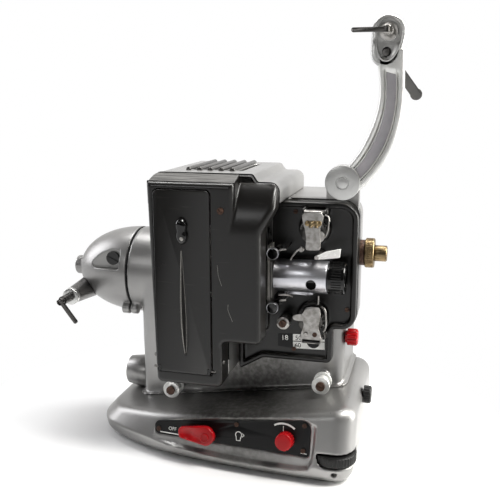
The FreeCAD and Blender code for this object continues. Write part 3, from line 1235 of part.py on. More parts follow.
def upper_spindle():
    pitch_r = GEAR_CENTRES * SPINDLE_TEETH / (SPINDLE_TEETH + CRANK_TEETH)
    wheel = gear(SPINDLE_AT, SPINDLE_TEETH, pitch_r, (11, 17), GEAR_LINE + 180 + 360 / SPINDLE_TEETH / 2)
    shaft = rod("y", SPINDLE_AT, 3, (0, HEAD_BACK + 1.5))
    shoulder = REEL_HALF - 1.2
    flange = rod("y", SPINDLE_AT, 6.6, (shoulder, ARM_FRONT - MOVE_GAP))
    tip = spindle_tip(shoulder)
    tip.translate(V(SPINDLE_AT[0], 0, SPINDLE_AT[1]))
    return joined(wheel, shaft, flange, tip)


def spindle_tip(shoulder):
    """The seat of a reel up to the shoulder, its forked end and the pin of its latch, about the y axis."""
    seat = LATCH_Y + 2.6
    point = rounded(rod("y", (0, 0), SPINDLE_TIP_R, (SPINDLE_TIP, seat + 1)), 1.2, flat("y", SPINDLE_TIP))
    fork = box((-6, 6), (SPINDLE_TIP - 1, seat), (-LATCH_WIDE / 2 - 0.25, LATCH_WIDE / 2 + 0.25))
    return joined(point.cut(fork), rod("y", (0, 0), SPINDLE_R, (seat, shoulder)),
                  rod("z", (0, LATCH_Y), LATCH_PIN_R, (-2.9, 2.9)))


def reel_latch(length):
    """The blade that flips in line with the spindle to let a reel off, drawn pointing to -x."""
    half = LATCH_WIDE / 2
    y = (LATCH_Y - LATCH_THICK / 2, LATCH_Y + LATCH_THICK / 2)
    blade = slab([(0, -half, 0.2), (0, half, 0.2), (-length, half, 1.6), (-length, -half, 1.6)], "xz", y)
    root = rod("z", (0, LATCH_Y), 1.8, (-half, half))
    return joined(blade, root).cut(rod("z", (0, LATCH_Y), LATCH_PIN_R + SHAFT_GAP, (-half - 1, half + 1)))


def rewind_crank():
    pitch_r = GEAR_CENTRES * CRANK_TEETH / (SPINDLE_TEETH + CRANK_TEETH)
    wheel = gear(CRANK_AT, CRANK_TEETH, pitch_r, (11, 17), GEAR_LINE)
    shaft = rod("y", CRANK_AT, 2.5, (ARM_FRONT + 1, CRANK_Y[1]))
    (cx, cz), (kx, kz) = CRANK_AT, CRANK_KNOB_AT
    length = math.hypot(kx - cx, kz - cz)
    bar = box((0, length), (0, CRANK_Y[1] - CRANK_Y[0]), (-CRANK_HALF, CRANK_HALF))
    bar.rotate(V(0, 0, 0), V(0, 1, 0), -math.degrees(math.atan2(kz - cz, kx - cx)))
    bar.translate(V(cx, CRANK_Y[0], cz))
    knob = rounded(rod("y", CRANK_KNOB_AT, CRANK_KNOB_R, (CRANK_Y[1], CRANK_KNOB_END)), 1.5,
                   flat("y", CRANK_KNOB_END))
    ends = [rod("y", CRANK_AT, 5, CRANK_Y), rod("y", CRANK_KNOB_AT, CRANK_HALF, CRANK_Y)]
    return joined(wheel, shaft, bar, knob, *ends)


def arm_bracket():
    x, z = PIVOT_AT
    span = (BODY_FRONT, BODY_FRONT + 9)
    body = joined(rod("y", PIVOT_AT, 12, span), box((x - 14, x + 12), span, (HOUSING_TOP - 16, z)))
    body = body.cut(slab(housing_corners(0), "xz", (BODY_FRONT - 1, BODY_FRONT + 20)))
    return joined(body, rod("y", PIVOT_AT, 4, (PIVOT_FRONT + 1.8, span[1])))


# Take-up side

def take_up_cone():
    return cone("y", TAKE_UP_AT, (TAKE_UP_TIP_R, TAKE_UP_ROOT_R), (COLLAR_BACK, TAKE_UP_ROOT))


def take_up_bearing():
    return take_up_cone().cut(rod("y", TAKE_UP_AT, 3 + SHAFT_GAP, (0, TAKE_UP_ROOT - 3)))


def take_up_collar():
    body = rod("y", TAKE_UP_AT, COLLAR_R, (REEL_HALF - 0.6, COLLAR_BACK - MOVE_GAP))
    body = bevelled(body, 0.6, flat("y", REEL_HALF - 0.6))
    return body.cut(rod("y", TAKE_UP_AT, SPINDLE_TIP_R + 0.01, (0, 20)))


def take_up_spindle():
    tip = spindle_tip(REEL_HALF - 0.6)
    tip.rotate(V(0, 0, 0), V(0, 1, 0), TAKE_UP_LATCH_ANGLE)
    tip.translate(V(TAKE_UP_AT[0], 0, TAKE_UP_AT[1]))
    neck = rod("y", TAKE_UP_AT, SPINDLE_TIP_R, (0, COLLAR_BACK - MOVE_GAP))
    return joined(tip, neck, rod("y", TAKE_UP_AT, 3, (5, TAKE_UP_ROOT - 4)))


def take_up_latch():
    latch = turned_about(reel_latch(TAKE_UP_LATCH_LONG), V(0, 0, 0), V(0, 1, 0), TAKE_UP_LATCH_ANGLE)
    latch.translate(V(TAKE_UP_AT[0], 0, TAKE_UP_AT[1]))
    return latch


def upper_latch():
    latch = reel_latch(UPPER_LATCH_LONG)
    latch.translate(V(SPINDLE_AT[0], 0, SPINDLE_AT[1]))
    return latch


def mains_inlet():
    outer = ring("x", INLET_AT, INLET_R, INLET_R - 3, (INLET_LEFT, BODY_LEFT))
    floor = rod("x", INLET_AT, INLET_R, (INLET_LEFT + 15, BODY_LEFT))
    pins = [rod("x", (INLET_AT[0] + dy, INLET_AT[1] + dz), 2.0, (INLET_LEFT + 4, INLET_LEFT + 16))
            for dy, dz in ((-5.5, 0), (5.5, 0), (0, 6.5))]
    outer = bevelled(outer, 0.8, flat("x", INLET_LEFT))
    inlet = joined(outer, floor, *pins).common(sloping_block(0.1, 400))
    return inlet.cut(foot_flange())


def build():
    save("base_casting", base_casting())
    save("base_plate", base_plate())
    save("rubber_feet", *rubber_feet())
    save("control_panel", control_panel())
    save("panel_screws", *panel_screws())
    save("switch_lever", switch_lever())
    save("speed_knob", speed_knob())
    save("tilt_wheel", tilt_wheel())
    save("tilt_screw", tilt_screw())
    save("end_knob", end_knob())
    save("mains_inlet", mains_inlet())
    save("body_casting", body_casting())
    save("back_cover", back_cover())
    save("body_screws", *body_screws())
    save("lamp_house", lamp_house())
    save("front_cover", front_cover())
    save("lamp_door", lamp_door())
    save("door_hinge_pin", door_hinge_pin())
    save("door_latch", door_latch())
    save("lamp_bulb", lamp_bulb())
    save("lamp_socket", lamp_socket())
    save("reflector", reflector())
    save("condenser_lens", condenser_lens())
    save("mechanism_plate", mechanism_plate())
    save("film_gate", film_gate())
    save("pressure_plate", pressure_plate())
    save("lens_holder", lens_holder())
    save("lens_barrel", lens_barrel())
    save("lens_glass", *lens_glass())
    save("focus_ring", focus_ring())
    save("gate_lever", gate_lever())
    save("upper_sprocket", sprocket(UPPER_SPROCKET))
    save("lower_sprocket", sprocket(LOWER_SPROCKET))
    save("upper_guard", guard(UPPER_HINGE_Z, 1))
    save("lower_guard", guard(LOWER_HINGE_Z, -1))
    save("gate_roller_upper", gate_roller(GATE_ROLLER_Z[0]))
    save("gate_roller_lower", gate_roller(GATE_ROLLER_Z[1]))
    save("loop_roller", loop_roller())
    save("path_roller_right", path_roller(PATH_ROLLERS["right"]))
    save("path_roller_left", path_roller(PATH_ROLLERS["left"]))
    save("roller_screws", *roller_screws())
    save("framing_knob", framing_knob())
    save("coupling_bush", coupling_bush())
    save("coupling_nut", coupling_nut())
    save("drive_shaft", drive_shaft())
    save("shutter_disc", shutter_disc())
    save("drive_belt", drive_belt())
    save("motor_dome", motor_dome())
    cap = brush_cap()
    save("brush_caps", cap, cap.mirror(V(0, BARREL_Y, 0), V(0, 1, 0)))
    save("motor_rotor", motor_rotor())
    save("arm_bracket", arm_bracket())
    save("reel_arm", reel_arm())
    save("arm_gear_cover", arm_gear_cover())
    save("upper_spindle", upper_spindle())
    save("upper_latch", upper_latch())
    save("rewind_crank", rewind_crank())
    save("take_up_bearing", take_up_bearing())
    save("take_up_collar", take_up_collar())
    save("take_up_spindle", take_up_spindle())
    save("take_up_latch", take_up_latch())


os.makedirs("parts", exist_ok=True)
build()
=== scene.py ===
import bpy
import bmesh
import json
import math
from mathutils import Matrix, Vector


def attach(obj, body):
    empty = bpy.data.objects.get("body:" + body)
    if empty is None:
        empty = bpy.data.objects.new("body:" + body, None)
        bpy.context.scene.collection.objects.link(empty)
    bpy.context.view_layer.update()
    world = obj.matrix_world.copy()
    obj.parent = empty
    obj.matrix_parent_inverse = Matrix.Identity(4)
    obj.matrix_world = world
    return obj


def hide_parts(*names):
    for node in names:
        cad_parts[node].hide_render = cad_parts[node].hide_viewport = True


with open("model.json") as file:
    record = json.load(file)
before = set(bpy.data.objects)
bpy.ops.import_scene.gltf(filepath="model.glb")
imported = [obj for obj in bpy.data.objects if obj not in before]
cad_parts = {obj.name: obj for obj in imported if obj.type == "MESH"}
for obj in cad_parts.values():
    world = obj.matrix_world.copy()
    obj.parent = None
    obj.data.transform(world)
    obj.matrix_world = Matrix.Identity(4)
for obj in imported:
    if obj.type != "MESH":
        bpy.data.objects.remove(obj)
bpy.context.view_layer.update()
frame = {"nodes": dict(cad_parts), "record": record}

# Pieces are drawn in millimetres about the lens, as the construction model is: x along the optical
# axis, z up, the film side at -y. TO_ROW moves them to the machine's own frame, in metres.
LENS_IN_ROW = Vector((0.0938, -0.0253, 0.155))
TO_ROW = Matrix.Translation(LENS_IN_ROW) @ Matrix.Scale(0.001, 4)
TO_LENS = TO_ROW.inverted()

# The face of the control panel: its own u, v and outward side, moved to the base front.
TO_PANEL = (Matrix.Translation((-10, -41.5, -136.4)) @ Matrix.Rotation(math.radians(-3.5), 4, "Z")
            @ Matrix.Rotation(math.radians(-12), 4, "X"))

BODY_OF = {node: body for body, nodes in frame["record"]["behaviour"]["bodies"].items() for node in nodes}
SLOT_OF = {part["node"]: part["material_slot"] for part in frame["record"]["subparts"]}


# Camera, lamps, floor and background

ROOM_TINT = (1.0, 0.985, 0.96, 1)
ROOM_LIGHT = (0.035, 0.78)   # strength of the room on the operator's side and behind the machine
FLOOR_HALF = 3.0             # half a side of the floor, in metres
FLOOR_CLEAR = 0.15           # radius of the plain floor, in metres
FLOOR_WHITE = 0.26           # radius at which it has become white


def lens_point(x, y, z):
    return TO_ROW @ Vector((x, y, z))


def linked(name, data):
    """A new object in the scene that shows the data."""
    made = bpy.data.objects.new(name, data)
    bpy.context.scene.collection.objects.link(made)
    return made


def aimed(thing, direction, roll=0.0):
    """Turns a camera or a lamp to look in a direction."""
    thing.rotation_mode = "QUATERNION"
    turn = Matrix.Rotation(roll, 4, "Z").to_quaternion()
    thing.rotation_quaternion = direction.to_track_quat("-Z", "Y") @ turn
    return thing


def add_camera():
    azimuth, elevation = math.radians(14.94), math.radians(12.405)
    back = Vector((math.sin(azimuth) * math.cos(elevation), -math.cos(azimuth) * math.cos(elevation),
                   math.sin(elevation)))
    data = bpy.data.cameras.new("camera")
    data.lens = 49.96
    data.sensor_width = 36.0
    data.clip_start = 0.01
    camera = aimed(linked("camera", data), -back, math.radians(-0.08))
    camera.location = lens_point(77.92, -535.31, 140.79)
    bpy.context.scene.camera = camera


def add_lamp(name, place, target, size, watts, colour=(1, 1, 1)):
    data = bpy.data.lights.new(name, "AREA")
    data.shape = "RECTANGLE"
    data.size, data.size_y = size
    data.energy = watts
    data.color = colour
    lamp = aimed(linked(name, data), Vector(target) - Vector(place))
    lamp.location = place


def fed(tree, node, feeds):
    """Gives a node's inputs their values, or links them to the outputs of other nodes."""
    for socket, value in feeds.items():
        if isinstance(value, bpy.types.NodeSocket):
            tree.links.new(value, node.inputs[socket])
        else:
            node.inputs[socket].default_value = value
    return node


def added(tree, kind, feeds=None, **settings):
    """A new node with its settings and what goes into it."""
    node = tree.nodes.new(kind)
    for name, value in settings.items():
        setattr(node, name, value)
    return fed(tree, node, feeds or {})


def reckoned(tree, operation, first, second):
    """The result of one sum over two values, such as their product."""
    return added(tree, "ShaderNodeMath", {0: first, 1: second}, operation=operation).outputs[0]


def scaled(tree, value, low, high, start=0.0, end=1.0):
    """A value between start and end, spread over low to high."""
    return added(tree, "ShaderNodeMapRange", {"Value": value, "From Min": start, "From Max": end,
                                              "To Min": low, "To Max": high}).outputs["Result"]


def light_path(tree, *kinds):
    """1 for the named kinds of ray and 0 for all others."""
    path = tree.nodes.new("ShaderNodeLightPath")
    result = path.outputs[kinds[0]]
    for kind in kinds[1:]:
        result = reckoned(tree, "MAXIMUM", result, path.outputs[kind])
    return result


def two_shaders(tree, amount, first, second):
    feeds = {0: amount, 1: first.outputs[0], 2: second.outputs[0]}
    return added(tree, "ShaderNodeMixShader", feeds).outputs[0]


def new_material(name):
    """A material, its nodes and its shader."""
    material = bpy.data.materials.new(name)
    material.use_nodes = True
    return material, material.node_tree, material.node_tree.nodes["Principled BSDF"]


def add_world():
    """A white backdrop; for light and mirrors the room is bright behind and dim on the operator's side."""
    world = bpy.data.worlds.new("studio")
    bpy.context.scene.world = world
    world.use_nodes = True
    tree = world.node_tree
    tree.nodes.clear()
    place = tree.nodes.new("ShaderNodeTexCoord").outputs["Generated"]
    behind = added(tree, "ShaderNodeSeparateXYZ", {0: place}).outputs["Y"]
    room = added(tree, "ShaderNodeBackground",
                 {"Color": ROOM_TINT, "Strength": scaled(tree, behind, *ROOM_LIGHT, -0.30, 0.85)})
    white = added(tree, "ShaderNodeBackground", {"Color": (1, 1, 1, 1), "Strength": 1.0})
    mirrored = reckoned(tree, "MULTIPLY", light_path(tree, "Is Glossy Ray"),
                        scaled(tree, behind, 0, 1, 0.62, 0.92))
    shown = reckoned(tree, "MAXIMUM", light_path(tree, "Is Camera Ray", "Is Transmission Ray"), mirrored)
    added(tree, "ShaderNodeOutputWorld", {"Surface": two_shaders(tree, shown, room, white)})


def add_floor():
    """A pale floor that keeps the shadow under the machine and runs out into the white backdrop."""
    corners = [(x * FLOOR_HALF, y * FLOOR_HALF, 0) for x, y in ((-1, -1), (1, -1), (1, 1), (-1, 1))]
    mesh = bpy.data.meshes.new("floor")
    mesh.from_pydata(corners, [], [(0, 1, 2, 3)])
    floor = linked("floor", mesh)
    material, tree, shader = new_material("floor")
    noise = added(tree, "ShaderNodeTexNoise", {"Scale": 3.0})
    fed(tree, shader, {"Roughness": 0.8, "Specular IOR Level": 0.1,
                       "Base Color": scaled(tree, noise.outputs["Fac"], 0.93, 0.97)})
    place = tree.nodes.new("ShaderNodeTexCoord").outputs["Object"]
    far = added(tree, "ShaderNodeVectorMath", {0: place}, operation="LENGTH").outputs["Value"]
    seen = reckoned(tree, "MULTIPLY", scaled(tree, far, 0.0, 1.0, FLOOR_CLEAR, FLOOR_WHITE),
                    light_path(tree, "Is Camera Ray", "Is Transmission Ray", "Is Glossy Ray"))
    white = tree.nodes.new("ShaderNodeEmission")
    fed(tree, tree.nodes["Material Output"], {"Surface": two_shaders(tree, seen, shader, white)})
    floor.data.materials.append(material)


def set_stage():
    add_camera()
    add_world()
    add_floor()
    add_lamp("key", (0.60, -0.05, 0.95), (0, 0, 0.12), (0.30, 0.30), 10.5, (1, 0.99, 0.96))
    add_lamp("side", (1.05, 0.25, 0.40), (0, 0, 0.10), (0.35, 0.8), 15.0, (1, 0.99, 0.94))
    add_lamp("left", (-1.0, 0.05, 0.55), (0, 0, 0.12), (0.4, 0.7), 5.0, (0.97, 0.97, 1))
    add_lamp("front", (-0.45, -1.15, 0.85), (0, 0, 0.12), (0.35, 0.25), 2.0)
    add_lamp("top", (-0.10, 0.35, 1.15), (0, 0, 0.1), (0.9, 0.25), 9.0)
    bpy.context.scene.view_settings.view_transform = "Standard"


# Finishes

def group_socket(tree, name, kind, side, value=None):
    socket = tree.interface.new_socket(name=name, in_out=side, socket_type=kind)
    if value is not None:
        socket.default_value = value
    return socket


def variation_group():
    """Tone, grain, specks, scratches, lighter edges that are worn paint and painted highlight, dust with
    painted light on upward faces, and a patchy painted shade near a centre, in object space.
    """
    tree = bpy.data.node_groups.new("surface variation", "ShaderNodeTree")
    group_socket(tree, "Broad Scale", "NodeSocketFloat", "INPUT", 20.0)
    group_socket(tree, "Grain Scale", "NodeSocketFloat", "INPUT", 900.0)
    group_socket(tree, "Speck Scale", "NodeSocketFloat", "INPUT", 260.0)
    group_socket(tree, "Painted Shade Centre", "NodeSocketVector", "INPUT")
    group_socket(tree, "Painted Shade Reach", "NodeSocketFloat", "INPUT", 0.05)
    for name in ("Broad", "Grain", "Specks", "Scratches", "Edges", "Dust And Top Light", "Painted Shade"):
        group_socket(tree, name, "NodeSocketFloat", "OUTPUT")
    source = tree.nodes.new("NodeGroupInput").outputs
    shape = tree.nodes.new("ShaderNodeNewGeometry").outputs
    surface = tree.nodes.new("ShaderNodeTexCoord").outputs
    place = surface["Object"]

    def noise(at, scale, detail):
        feeds = {"Vector": at, "Scale": scale, "Detail": detail}
        return added(tree, "ShaderNodeTexNoise", feeds).outputs["Fac"]

    def both(first, second):
        return reckoned(tree, "MULTIPLY", scaled(tree, *first), scaled(tree, *second))

    cells = added(tree, "ShaderNodeTexVoronoi", {"Vector": place, "Scale": source["Speck Scale"]}).outputs
    sparse = reckoned(tree, "GREATER_THAN", cells["Color"], 0.72)
    drawn_out = added(tree, "ShaderNodeMapping",
                      {"Vector": place, "Rotation": (0.4, 0.9, 0.3), "Scale": (1, 14, 14)}).outputs["Vector"]
    lines, patches = noise(drawn_out, 38.0, 3.0), noise(place, 260.0, 4.0)
    lying = added(tree, "ShaderNodeSeparateXYZ", {0: surface["Normal"]}).outputs["Z"]
    away = added(tree, "ShaderNodeVectorMath", {0: place, 1: source["Painted Shade Centre"]}, operation="DISTANCE")
    reach = reckoned(tree, "DIVIDE", away.outputs["Value"], source["Painted Shade Reach"])
    added(tree, "NodeGroupOutput", {
        "Broad": noise(place, source["Broad Scale"], 5.0),
        "Grain": noise(place, source["Grain Scale"], 2.0),
        "Specks": reckoned(tree, "MULTIPLY", scaled(tree, cells["Distance"], 0, 1, 0.12, 0.04), sparse),
        "Scratches": scaled(tree, lines, 0, 1, 0.66, 0.74),
        # Edges: lighter on rounded edges, partly worn paint and partly painted highlight.
        "Edges": both((shape["Pointiness"], 0, 1, 0.53, 0.60), (patches, 0, 1, 0.40, 0.62)),
        # Dust and top light: lighter on upward faces, partly dust and partly painted light from above.
        "Dust And Top Light": both((lying, 0, 1, 0.70, 0.96), (lines, 0.25, 1, 0.35, 0.62)),
        # Painted shade: patchy darkening that fades out over the reach from the centre.
        "Painted Shade": both((reach, 1, 0, 0.35, 1.0), (patches, 0.7, 1, 0.35, 0.60))})
    return tree


def mixed(tree, amount, first, second):
    """One colour laid over another; each is three numbers or comes from another node."""
    first, second = ((*c, 1) if isinstance(c, tuple) else c for c in (first, second))
    return added(tree, "ShaderNodeMix", {0: amount, 6: first, 7: second}, data_type="RGBA").outputs[2]


RELIEF = 0.00005             # depth of the grain of a surface, in metres
SCRATCH_AMOUNT = 0.5
# Strength of the painted shade near its centre.
PAINTED_SHADE_AMOUNT = 0.85


def finish(name, light, dark, metallic, roughness, bump=0.1, broad=20.0, grain=900.0, specks=None,
           speck_amount=0.5, speck_scale=260.0, scratch=None, coat=0.0, edge=None, edge_amount=0.6,
           specular=0.5, dust_and_top_light=None, dust_and_top_light_amount=0.6, painted_shade=None, painted_shade_at=(0, 0, 0), painted_shade_reach=50.0):
    """A material whose tone, gloss and relief vary over the surface."""
    material, tree, shader = new_material(name)
    varied = added(tree, "ShaderNodeGroup",
                   {"Broad Scale": broad, "Grain Scale": grain, "Speck Scale": speck_scale,
                    "Painted Shade Centre": lens_point(*painted_shade_at), "Painted Shade Reach": painted_shade_reach / 1000},
                   node_tree=VARIATION).outputs
    colour = mixed(tree, scaled(tree, varied["Broad"], -0.6, 1.6), dark, light)
    # Tints laid over the colour: specks, scratches, edges (worn paint and painted highlight), dust (with
    # painted light from above) and painted shade.
    for trace, amount, tint in (("Specks", speck_amount, specks), ("Scratches", SCRATCH_AMOUNT, scratch),
                                ("Edges", edge_amount, edge), ("Dust And Top Light", dust_and_top_light_amount, dust_and_top_light),
                                ("Painted Shade", PAINTED_SHADE_AMOUNT, painted_shade)):
        if tint:
            colour = mixed(tree, scaled(tree, varied[trace], 0, amount), colour, tint)
    relief = added(tree, "ShaderNodeBump", {"Strength": bump, "Distance": RELIEF, "Height": varied["Grain"]})
    fed(tree, shader, {"Base Color": colour, "Metallic": metallic, "Specular IOR Level": specular,
                       "Roughness": scaled(tree, varied["Broad"], *roughness), "Coat Weight": coat,
                       "Coat Roughness": 0.1, "Normal": relief.outputs["Normal"]})
    return material


def glass(name, tint, roughness):
    material, tree, shader = new_material(name)
    varied = added(tree, "ShaderNodeGroup", node_tree=VARIATION).outputs
    fed(tree, shader, {"Transmission Weight": 1.0, "IOR": 1.5,
                       "Roughness": scaled(tree, varied["Broad"], *roughness),
                       "Base Color": mixed(tree, varied["Specks"], tint, tuple(0.8 * c for c in tint))})
    return material


# The edge tint lightens rounded edges: worn paint and painted highlight.
GREY_ENAMEL = {"light": (0.40, 0.395, 0.39), "dark": (0.26, 0.256, 0.25), "metallic": 0.82, "bump": 0.25,
               "broad": 14, "grain": 1500, "specks": (0.06, 0.055, 0.05), "speck_scale": 190,
               "edge": (0.62, 0.61, 0.58), "edge_amount": 0.4}
DARK_ENAMEL = {"metallic": 0.0, "bump": 0.3, "broad": 18, "grain": 1600, "specks": (0.05, 0.046, 0.04),
               "speck_amount": 0.25, "speck_scale": 210, "scratch": (0.03, 0.028, 0.026), "specular": 0.42}


def make_finishes():
    return {
        "casting": finish("grey_enamel", roughness=(0.33, 0.45), speck_amount=0.45, **GREY_ENAMEL),
        # The base and the body carry a painted shade: patchy darkening under the lamp house and under the
        # mechanism plate.
        "base": finish("grey_enamel_base", roughness=(0.32, 0.44), speck_amount=0.55,
                       painted_shade=(0.05, 0.047, 0.042), painted_shade_at=(-70, -20, -104), painted_shade_reach=75, **GREY_ENAMEL),
        "body": finish("grey_enamel_body", roughness=(0.33, 0.45), speck_amount=0.45,
                       painted_shade=(0.06, 0.057, 0.052), painted_shade_at=(-62, 17, -88), painted_shade_reach=62, **GREY_ENAMEL),
        # A darker copy of the grey enamel: painted shade on the ribs, the take-up bearing and the rewind
        # crank.
        "shade_painted_casting": finish("shaded_enamel", (0.16, 0.155, 0.15), (0.09, 0.088, 0.085), 0.8, (0.28, 0.42),
                               0.25, 20, 1500, (0.05, 0.045, 0.04), 0.5, 190),
        "cover": finish("dark_enamel", (0.0085, 0.0078, 0.0072), (0.0055, 0.005, 0.0046),
                        # Lighter rounded edges: worn paint and painted highlight.
                        roughness=(0.24, 0.36), edge=(0.10, 0.095, 0.085), edge_amount=0.5,
                        # Lighter upward faces: dust and painted light from above.
                        dust_and_top_light=(0.20, 0.195, 0.185), dust_and_top_light_amount=0.75, **DARK_ENAMEL),
        "door": finish("dark_enamel_door", (0.0095, 0.0088, 0.0082), (0.0065, 0.006, 0.0056),
                       roughness=(0.24, 0.34), **DARK_ENAMEL),
        "panel": finish("black_panel", (0.0045, 0.0045, 0.005), (0.003, 0.003, 0.0035), 0.0, (0.30, 0.42),
                        0.05, specular=0.25),
        # Near black: the dark joint of the case, and painted shade in the frame groove and in the hole of the
        # lens tube.
        "groove": finish("dark_groove", (0.003, 0.003, 0.003), (0.002, 0.002, 0.002), 0.0, (0.7, 0.9), 0.05,
                         specular=0.1),
        "red": finish("red_bakelite", (0.42, 0.006, 0.009), (0.28, 0.004, 0.006), 0.0, (0.16, 0.3), 0.08, 60,
                      coat=0.05, specular=0.25),
        "black": finish("black_bakelite", (0.004, 0.004, 0.004), (0.003, 0.003, 0.003), 0.0, (0.06, 0.14),
                        0.04, specular=0.45),
        "knurled": finish("black_rubber", (0.010, 0.0095, 0.009), (0.006, 0.006, 0.006), 0.0, (0.35, 0.5),
                          0.3, 30, 1200, (0.04, 0.035, 0.03), 0.4, 300, specular=0.35),
        "chrome": finish("satin_chrome", (0.66, 0.66, 0.69), (0.58, 0.58, 0.62), 1.0, (0.32, 0.40), 0.02, 160,
                         1200, (0.34, 0.31, 0.29), 0.3, 520),
        "nickel": finish("worn_nickel", (0.48, 0.465, 0.45), (0.19, 0.18, 0.165), 1.0, (0.24, 0.46), 0.25,
                         230, 1600, (0.14, 0.085, 0.05), 0.9, 420, (0.60, 0.59, 0.58)),
        "bright": finish("bright_nickel", (0.93, 0.93, 0.91), (0.84, 0.84, 0.82), 0.1, (0.2, 0.35), 0.1, 90),
        "steel": finish("steel", (0.50, 0.48, 0.46), (0.30, 0.29, 0.27), 1.0, (0.26, 0.44), 0.1, 90, 1500,
                        (0.16, 0.10, 0.06), 0.7, 480),
        "dark_steel": finish("blackened_steel", (0.11, 0.105, 0.10), (0.05, 0.048, 0.045), 0.9, (0.24, 0.42),
                             0.1, 60, edge=(0.30, 0.29, 0.28)),
        "rusty": finish("rusty_screw", (0.12, 0.065, 0.045), (0.035, 0.020, 0.015), 0.4, (0.40, 0.65), 0.4,
                        420, 2500, (0.22, 0.15, 0.09), 0.6, 900, specular=0.3),
        "aluminium": finish("aluminium", (0.74, 0.74, 0.72), (0.52, 0.52, 0.505), 1.0, (0.24, 0.40), 0.1, 90,
                            1800, (0.30, 0.28, 0.25), 0.5, 420),
        "pale": finish("pale_aluminium", (0.88, 0.88, 0.86), (0.70, 0.70, 0.68), 0.35, (0.28, 0.42), 0.1, 90,
                       1800, (0.40, 0.38, 0.35), 0.5, 420),
        "arm": finish("cast_aluminium", (0.84, 0.84, 0.82), (0.68, 0.68, 0.665), 0.55, (0.26, 0.38), 0.2, 60,
                      1800, (0.20, 0.19, 0.18), 0.5, 420),
        "head": finish("cast_aluminium_head", (0.62, 0.62, 0.61), (0.46, 0.46, 0.45), 0.75, (0.28, 0.40), 0.2,
                       60, 1800, (0.16, 0.15, 0.14), 0.5, 420),
        "arm_floor": finish("arm_channel_paint", (0.42, 0.40, 0.42), (0.32, 0.31, 0.33), 0.2, (0.4, 0.55),
                            0.4, 90),
        "brass": finish("aged_brass", (0.34, 0.25, 0.13), (0.12, 0.085, 0.05), 1.0, (0.24, 0.44), 0.3, 190,
                        1600, (0.04, 0.03, 0.02), 0.8, 520, edge=(0.55, 0.44, 0.26)),
        "rubber": finish("rubber", (0.012, 0.012, 0.012), (0.007, 0.007, 0.007), 0.0, (0.6, 0.8), 0.3,
                         specular=0.3),
        "porcelain": finish("insulator", (0.72, 0.70, 0.64), (0.60, 0.57, 0.50), 0.0, (0.2, 0.35), 0.05),
        "white": finish("white_marking", (0.90, 0.90, 0.88), (0.78, 0.78, 0.75), 0.0, (0.4, 0.6), 0.05, 300),
        "scuff_and_highlight": finish("scuff_and_highlight_enamel", (0.30, 0.29, 0.27), (0.14, 0.135, 0.125), 0.0, (0.4, 0.6),
                        0.05, 900),
        "lens": glass("coated_glass", (0.80, 0.84, 0.95), (0.02, 0.05)),
        "bulb": glass("clear_glass", (0.95, 0.95, 0.92), (0.02, 0.08)),
    }


# A slot that isn't named here has the finish of its own name.
FINISH_OF_SLOT = {"casting_paint": "casting", "cover_paint": "cover", "black_panel": "panel",
                  "red_plastic": "red", "black_plastic": "black", "black_knurled": "knurled",
                  "bulb_glass": "bulb", "lens_glass": "lens", "feet_rubber": "rubber",
                  "belt_rubber": "rubber"}


# Mesh helpers, all in millimetres about the lens

def mesh_object(name, vertices, faces):
    mesh = bpy.data.meshes.new(name)
    mesh.from_pydata([tuple(v) for v in vertices], [], faces)
    mesh.validate()
    return linked(name, mesh)


def face_outwards(piece, merge=0.0005):
    work = bmesh.new()
    work.from_mesh(piece.data)
    bmesh.ops.remove_doubles(work, verts=work.verts, dist=merge)
    bmesh.ops.recalc_face_normals(work, faces=work.faces)
    work.to_mesh(piece.data)
    work.free()
    return piece


def applied(piece):
    """The piece with its modifiers worked into its mesh."""
    shown = piece.evaluated_get(bpy.context.evaluated_depsgraph_get())
    mesh = bpy.data.meshes.new_from_object(shown)
    piece.modifiers.clear()
    piece.data = mesh
    return piece


def cad_copy(node):
    """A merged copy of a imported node, in millimetres about the lens."""
    mesh = frame["nodes"][node].data.copy()
    mesh.materials.clear()
    mesh.transform(TO_LENS)
    piece = linked(node + "_dressed", mesh)
    work = bmesh.new()
    work.from_mesh(mesh)
    bmesh.ops.remove_doubles(work, verts=work.verts, dist=0.002)
    bmesh.ops.dissolve_limit(work, angle_limit=math.radians(1.0), verts=work.verts, edges=work.edges)
    work.to_mesh(mesh)
    work.free()
    return piece


def softened(piece, width, segments=2, angle=35):
    bevel = piece.modifiers.new("edges", "BEVEL")
    bevel.width = width
    bevel.segments = segments
    bevel.limit_method = "ANGLE"
    bevel.angle_limit = math.radians(angle)
    bevel.harden_normals = True
    return applied(piece)


def cast(piece, voxel, rounds):
    """Gives a piece the soft edges of a casting."""
    remesh = piece.modifiers.new("skin", "REMESH")
    remesh.mode = "VOXEL"
    remesh.voxel_size = voxel
    remesh.adaptivity = 0.0
    smooth = piece.modifiers.new("soft", "SMOOTH")
    smooth.factor = 0.5
    smooth.iterations = rounds
    return applied(piece)


def thickened(piece, thickness, offset):
    thick = piece.modifiers.new("thick", "SOLIDIFY")
    thick.thickness = thickness
    thick.offset = offset
    return applied(piece)


